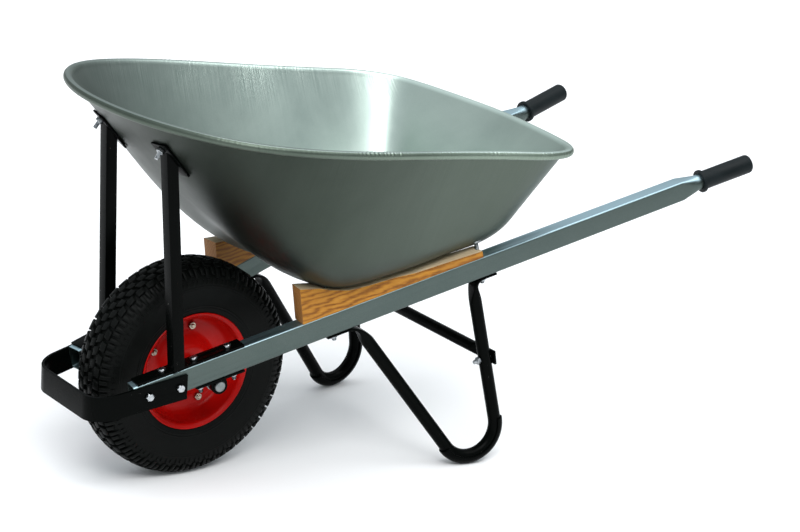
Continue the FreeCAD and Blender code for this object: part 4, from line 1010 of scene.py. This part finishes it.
def leg_mesh(side):
    """Tube bent to a V and pressed flat at both ends, changing smoothly from flat to round."""
    path, far, (front, rear) = leg_path()
    tangent = unit(np.gradient(path, axis=0))
    made = bmesh.new()
    rings = []
    inward_side = LEG_SIDE * np.sign(LEG_SIDE @ INWARD)
    for point, along, s in zip(path, tangent, far):
        beyond = min(1.0, max(0.0, min(s - front + 6.0, rear + 6.0 - s) / NECK_CHANGE))
        flat = 1.0 - beyond * beyond * (3 - 2 * beyond)
        wide = INWARD * flat + inward_side * (1 - flat)
        wide = unit(wide - along * (wide @ along))
        thick = np.cross(along, wide)
        a = LEG_TAB_WIDTH / 2 * flat + LEG_R * (1 - flat)
        b = LEG_TAB / 2 * flat + LEG_R * (1 - flat)
        power = 2 / (2 + 4 * flat)
        ring = []
        for t in np.linspace(0, 2 * math.pi, LEG_AROUND, endpoint=False):
            x = a * math.copysign(abs(math.cos(t)) ** power, math.cos(t))
            y = b * math.copysign(abs(math.sin(t)) ** power, math.sin(t))
            spot = point + wide * x + thick * y
            ring.append(made.verts.new(at(spot[0], spot[1] * side, spot[2])))
        rings.append(ring)
    for lower, upper in zip(rings, rings[1:]):
        for k in range(LEG_AROUND):
            after = (k + 1) % LEG_AROUND
            made.faces.new((lower[k], lower[after], upper[after], upper[k]))
    made.faces.new(rings[0][::-1])
    made.faces.new(rings[-1])
    bmesh.ops.recalc_face_normals(made, faces=made.faces)
    return to_mesh(made, "leg", 40.0)


link("left_leg_tube", leg_mesh(1), "left_leg", ["left_leg"])
link("right_leg_tube", leg_mesh(-1), "right_leg", ["right_leg"])

# ---------------------------------------------------------------- frame pieces
ROUNDED_NODES = {
    "stay": 0.7, "axle_bracket": 0.7, "wedge": 0.7, "leg_shoe": 0.9, "handle_rail": 0.35, "grip": 1.2,
}
for node, bevel in ROUNDED_NODES.items():
    finished_copy("left_" + node, bevel)
    finished_copy("right_" + node, bevel)
finished_copy("nose_guard", 0.7)
finished_copy("cross_brace", 0.7)

# ---------------------------------------------------------------- floor, light and camera
FLOOR_REACH = 14.0
floor_mesh = bpy.data.meshes.new("floor")
floor_corners = [(x * FLOOR_REACH, y * FLOOR_REACH, 0) for x, y in ((-1, -1), (1, -1), (1, 1), (-1, 1))]
floor_mesh.from_pydata(floor_corners, [], [(0, 1, 2, 3)])
floor_mesh.materials.append(pale_floor("floor_paint"))
floor_piece = bpy.data.objects.new("floor", floor_mesh)
bpy.context.scene.collection.objects.link(floor_piece)


def area_light(name, place, target, size, power):
    """Rectangular lamp at a place, facing a target."""
    lamp = bpy.data.lights.new(name, "AREA")
    lamp.shape = "RECTANGLE"
    lamp.size, lamp.size_y = size
    lamp.energy = power
    holder = bpy.data.objects.new(name, lamp)
    holder.location = place
    holder.rotation_euler = (Vector(target) - Vector(place)).to_track_quat("-Z", "Y").to_euler()
    bpy.context.scene.collection.objects.link(holder)


def sun_light(name, direction, power, spread_deg):
    """Broad overhead light along a direction."""
    lamp = bpy.data.lights.new(name, "SUN")
    lamp.energy = power
    lamp.angle = math.radians(spread_deg)
    holder = bpy.data.objects.new(name, lamp)
    holder.rotation_euler = Vector(direction).to_track_quat("-Z", "Y").to_euler()
    bpy.context.scene.collection.objects.link(holder)


area_light("key", (1.6, 2.2, 3.0), (0.0, 0.0, 0.4), (2.0, 1.4), 70.0)
sun_light("overhead", (0.15, -0.25, -1.0), 1.9, 60.0)


def studio_world():
    """Soft surround: bright and slightly blue overhead, duller towards the horizon and behind the handles."""
    world = bpy.data.worlds.new("studio")
    world.use_nodes = True
    tree = world.node_tree
    background = tree.nodes["Background"]
    split = tree.nodes.new("ShaderNodeSeparateXYZ")
    tree.links.new(coordinates(tree, "Generated"), split.inputs["Vector"])
    height = spread(tree, split.outputs["Z"], 0.0, 0.75)
    low = ramp(tree, spread(tree, split.outputs["X"], -0.8, 0.6),
               [(0.0, (0.16, 0.18, 0.17)), (1.0, (0.42, 0.45, 0.45))])
    tree.links.new(mixed(tree, height, low, (0.96, 1.02, 1.08)), background.inputs["Color"])
    background.inputs["Strength"].default_value = 1.0
    bpy.context.scene.world = world


studio_world()
bpy.context.scene.view_settings.view_transform = "Standard"


def make_camera(place, yaw, pitch, roll, lens):
    """Camera at a place, looking along a yaw and pitch, turned about its line of sight by roll."""
    line = Vector((math.cos(pitch) * math.cos(yaw), math.cos(pitch) * math.sin(yaw), math.sin(pitch)))
    right = line.cross(Vector((0, 0, 1))).normalized()
    up = right.cross(line)
    x = right * math.cos(roll) + up * math.sin(roll)
    y = up * math.cos(roll) - right * math.sin(roll)
    data = bpy.data.cameras.new("camera")
    data.lens = lens
    data.sensor_width = 36.0
    data.clip_start, data.clip_end = 0.05, 100.0
    holder = bpy.data.objects.new("camera", data)
    bpy.context.scene.collection.objects.link(holder)
    turn = Matrix((x, y, -line)).transposed().to_4x4()
    holder.matrix_world = Matrix.Translation(place) @ turn
    bpy.context.scene.camera = holder


CAMERA_PLACE = at(2372.2, 3772.6, 1865.4)
CAMERA_YAW, CAMERA_PITCH, CAMERA_ROLL = -2.217, -0.316, 0.072
CAMERA_LENS = 118.5
make_camera(CAMERA_PLACE, CAMERA_YAW, CAMERA_PITCH, CAMERA_ROLL, CAMERA_LENS)
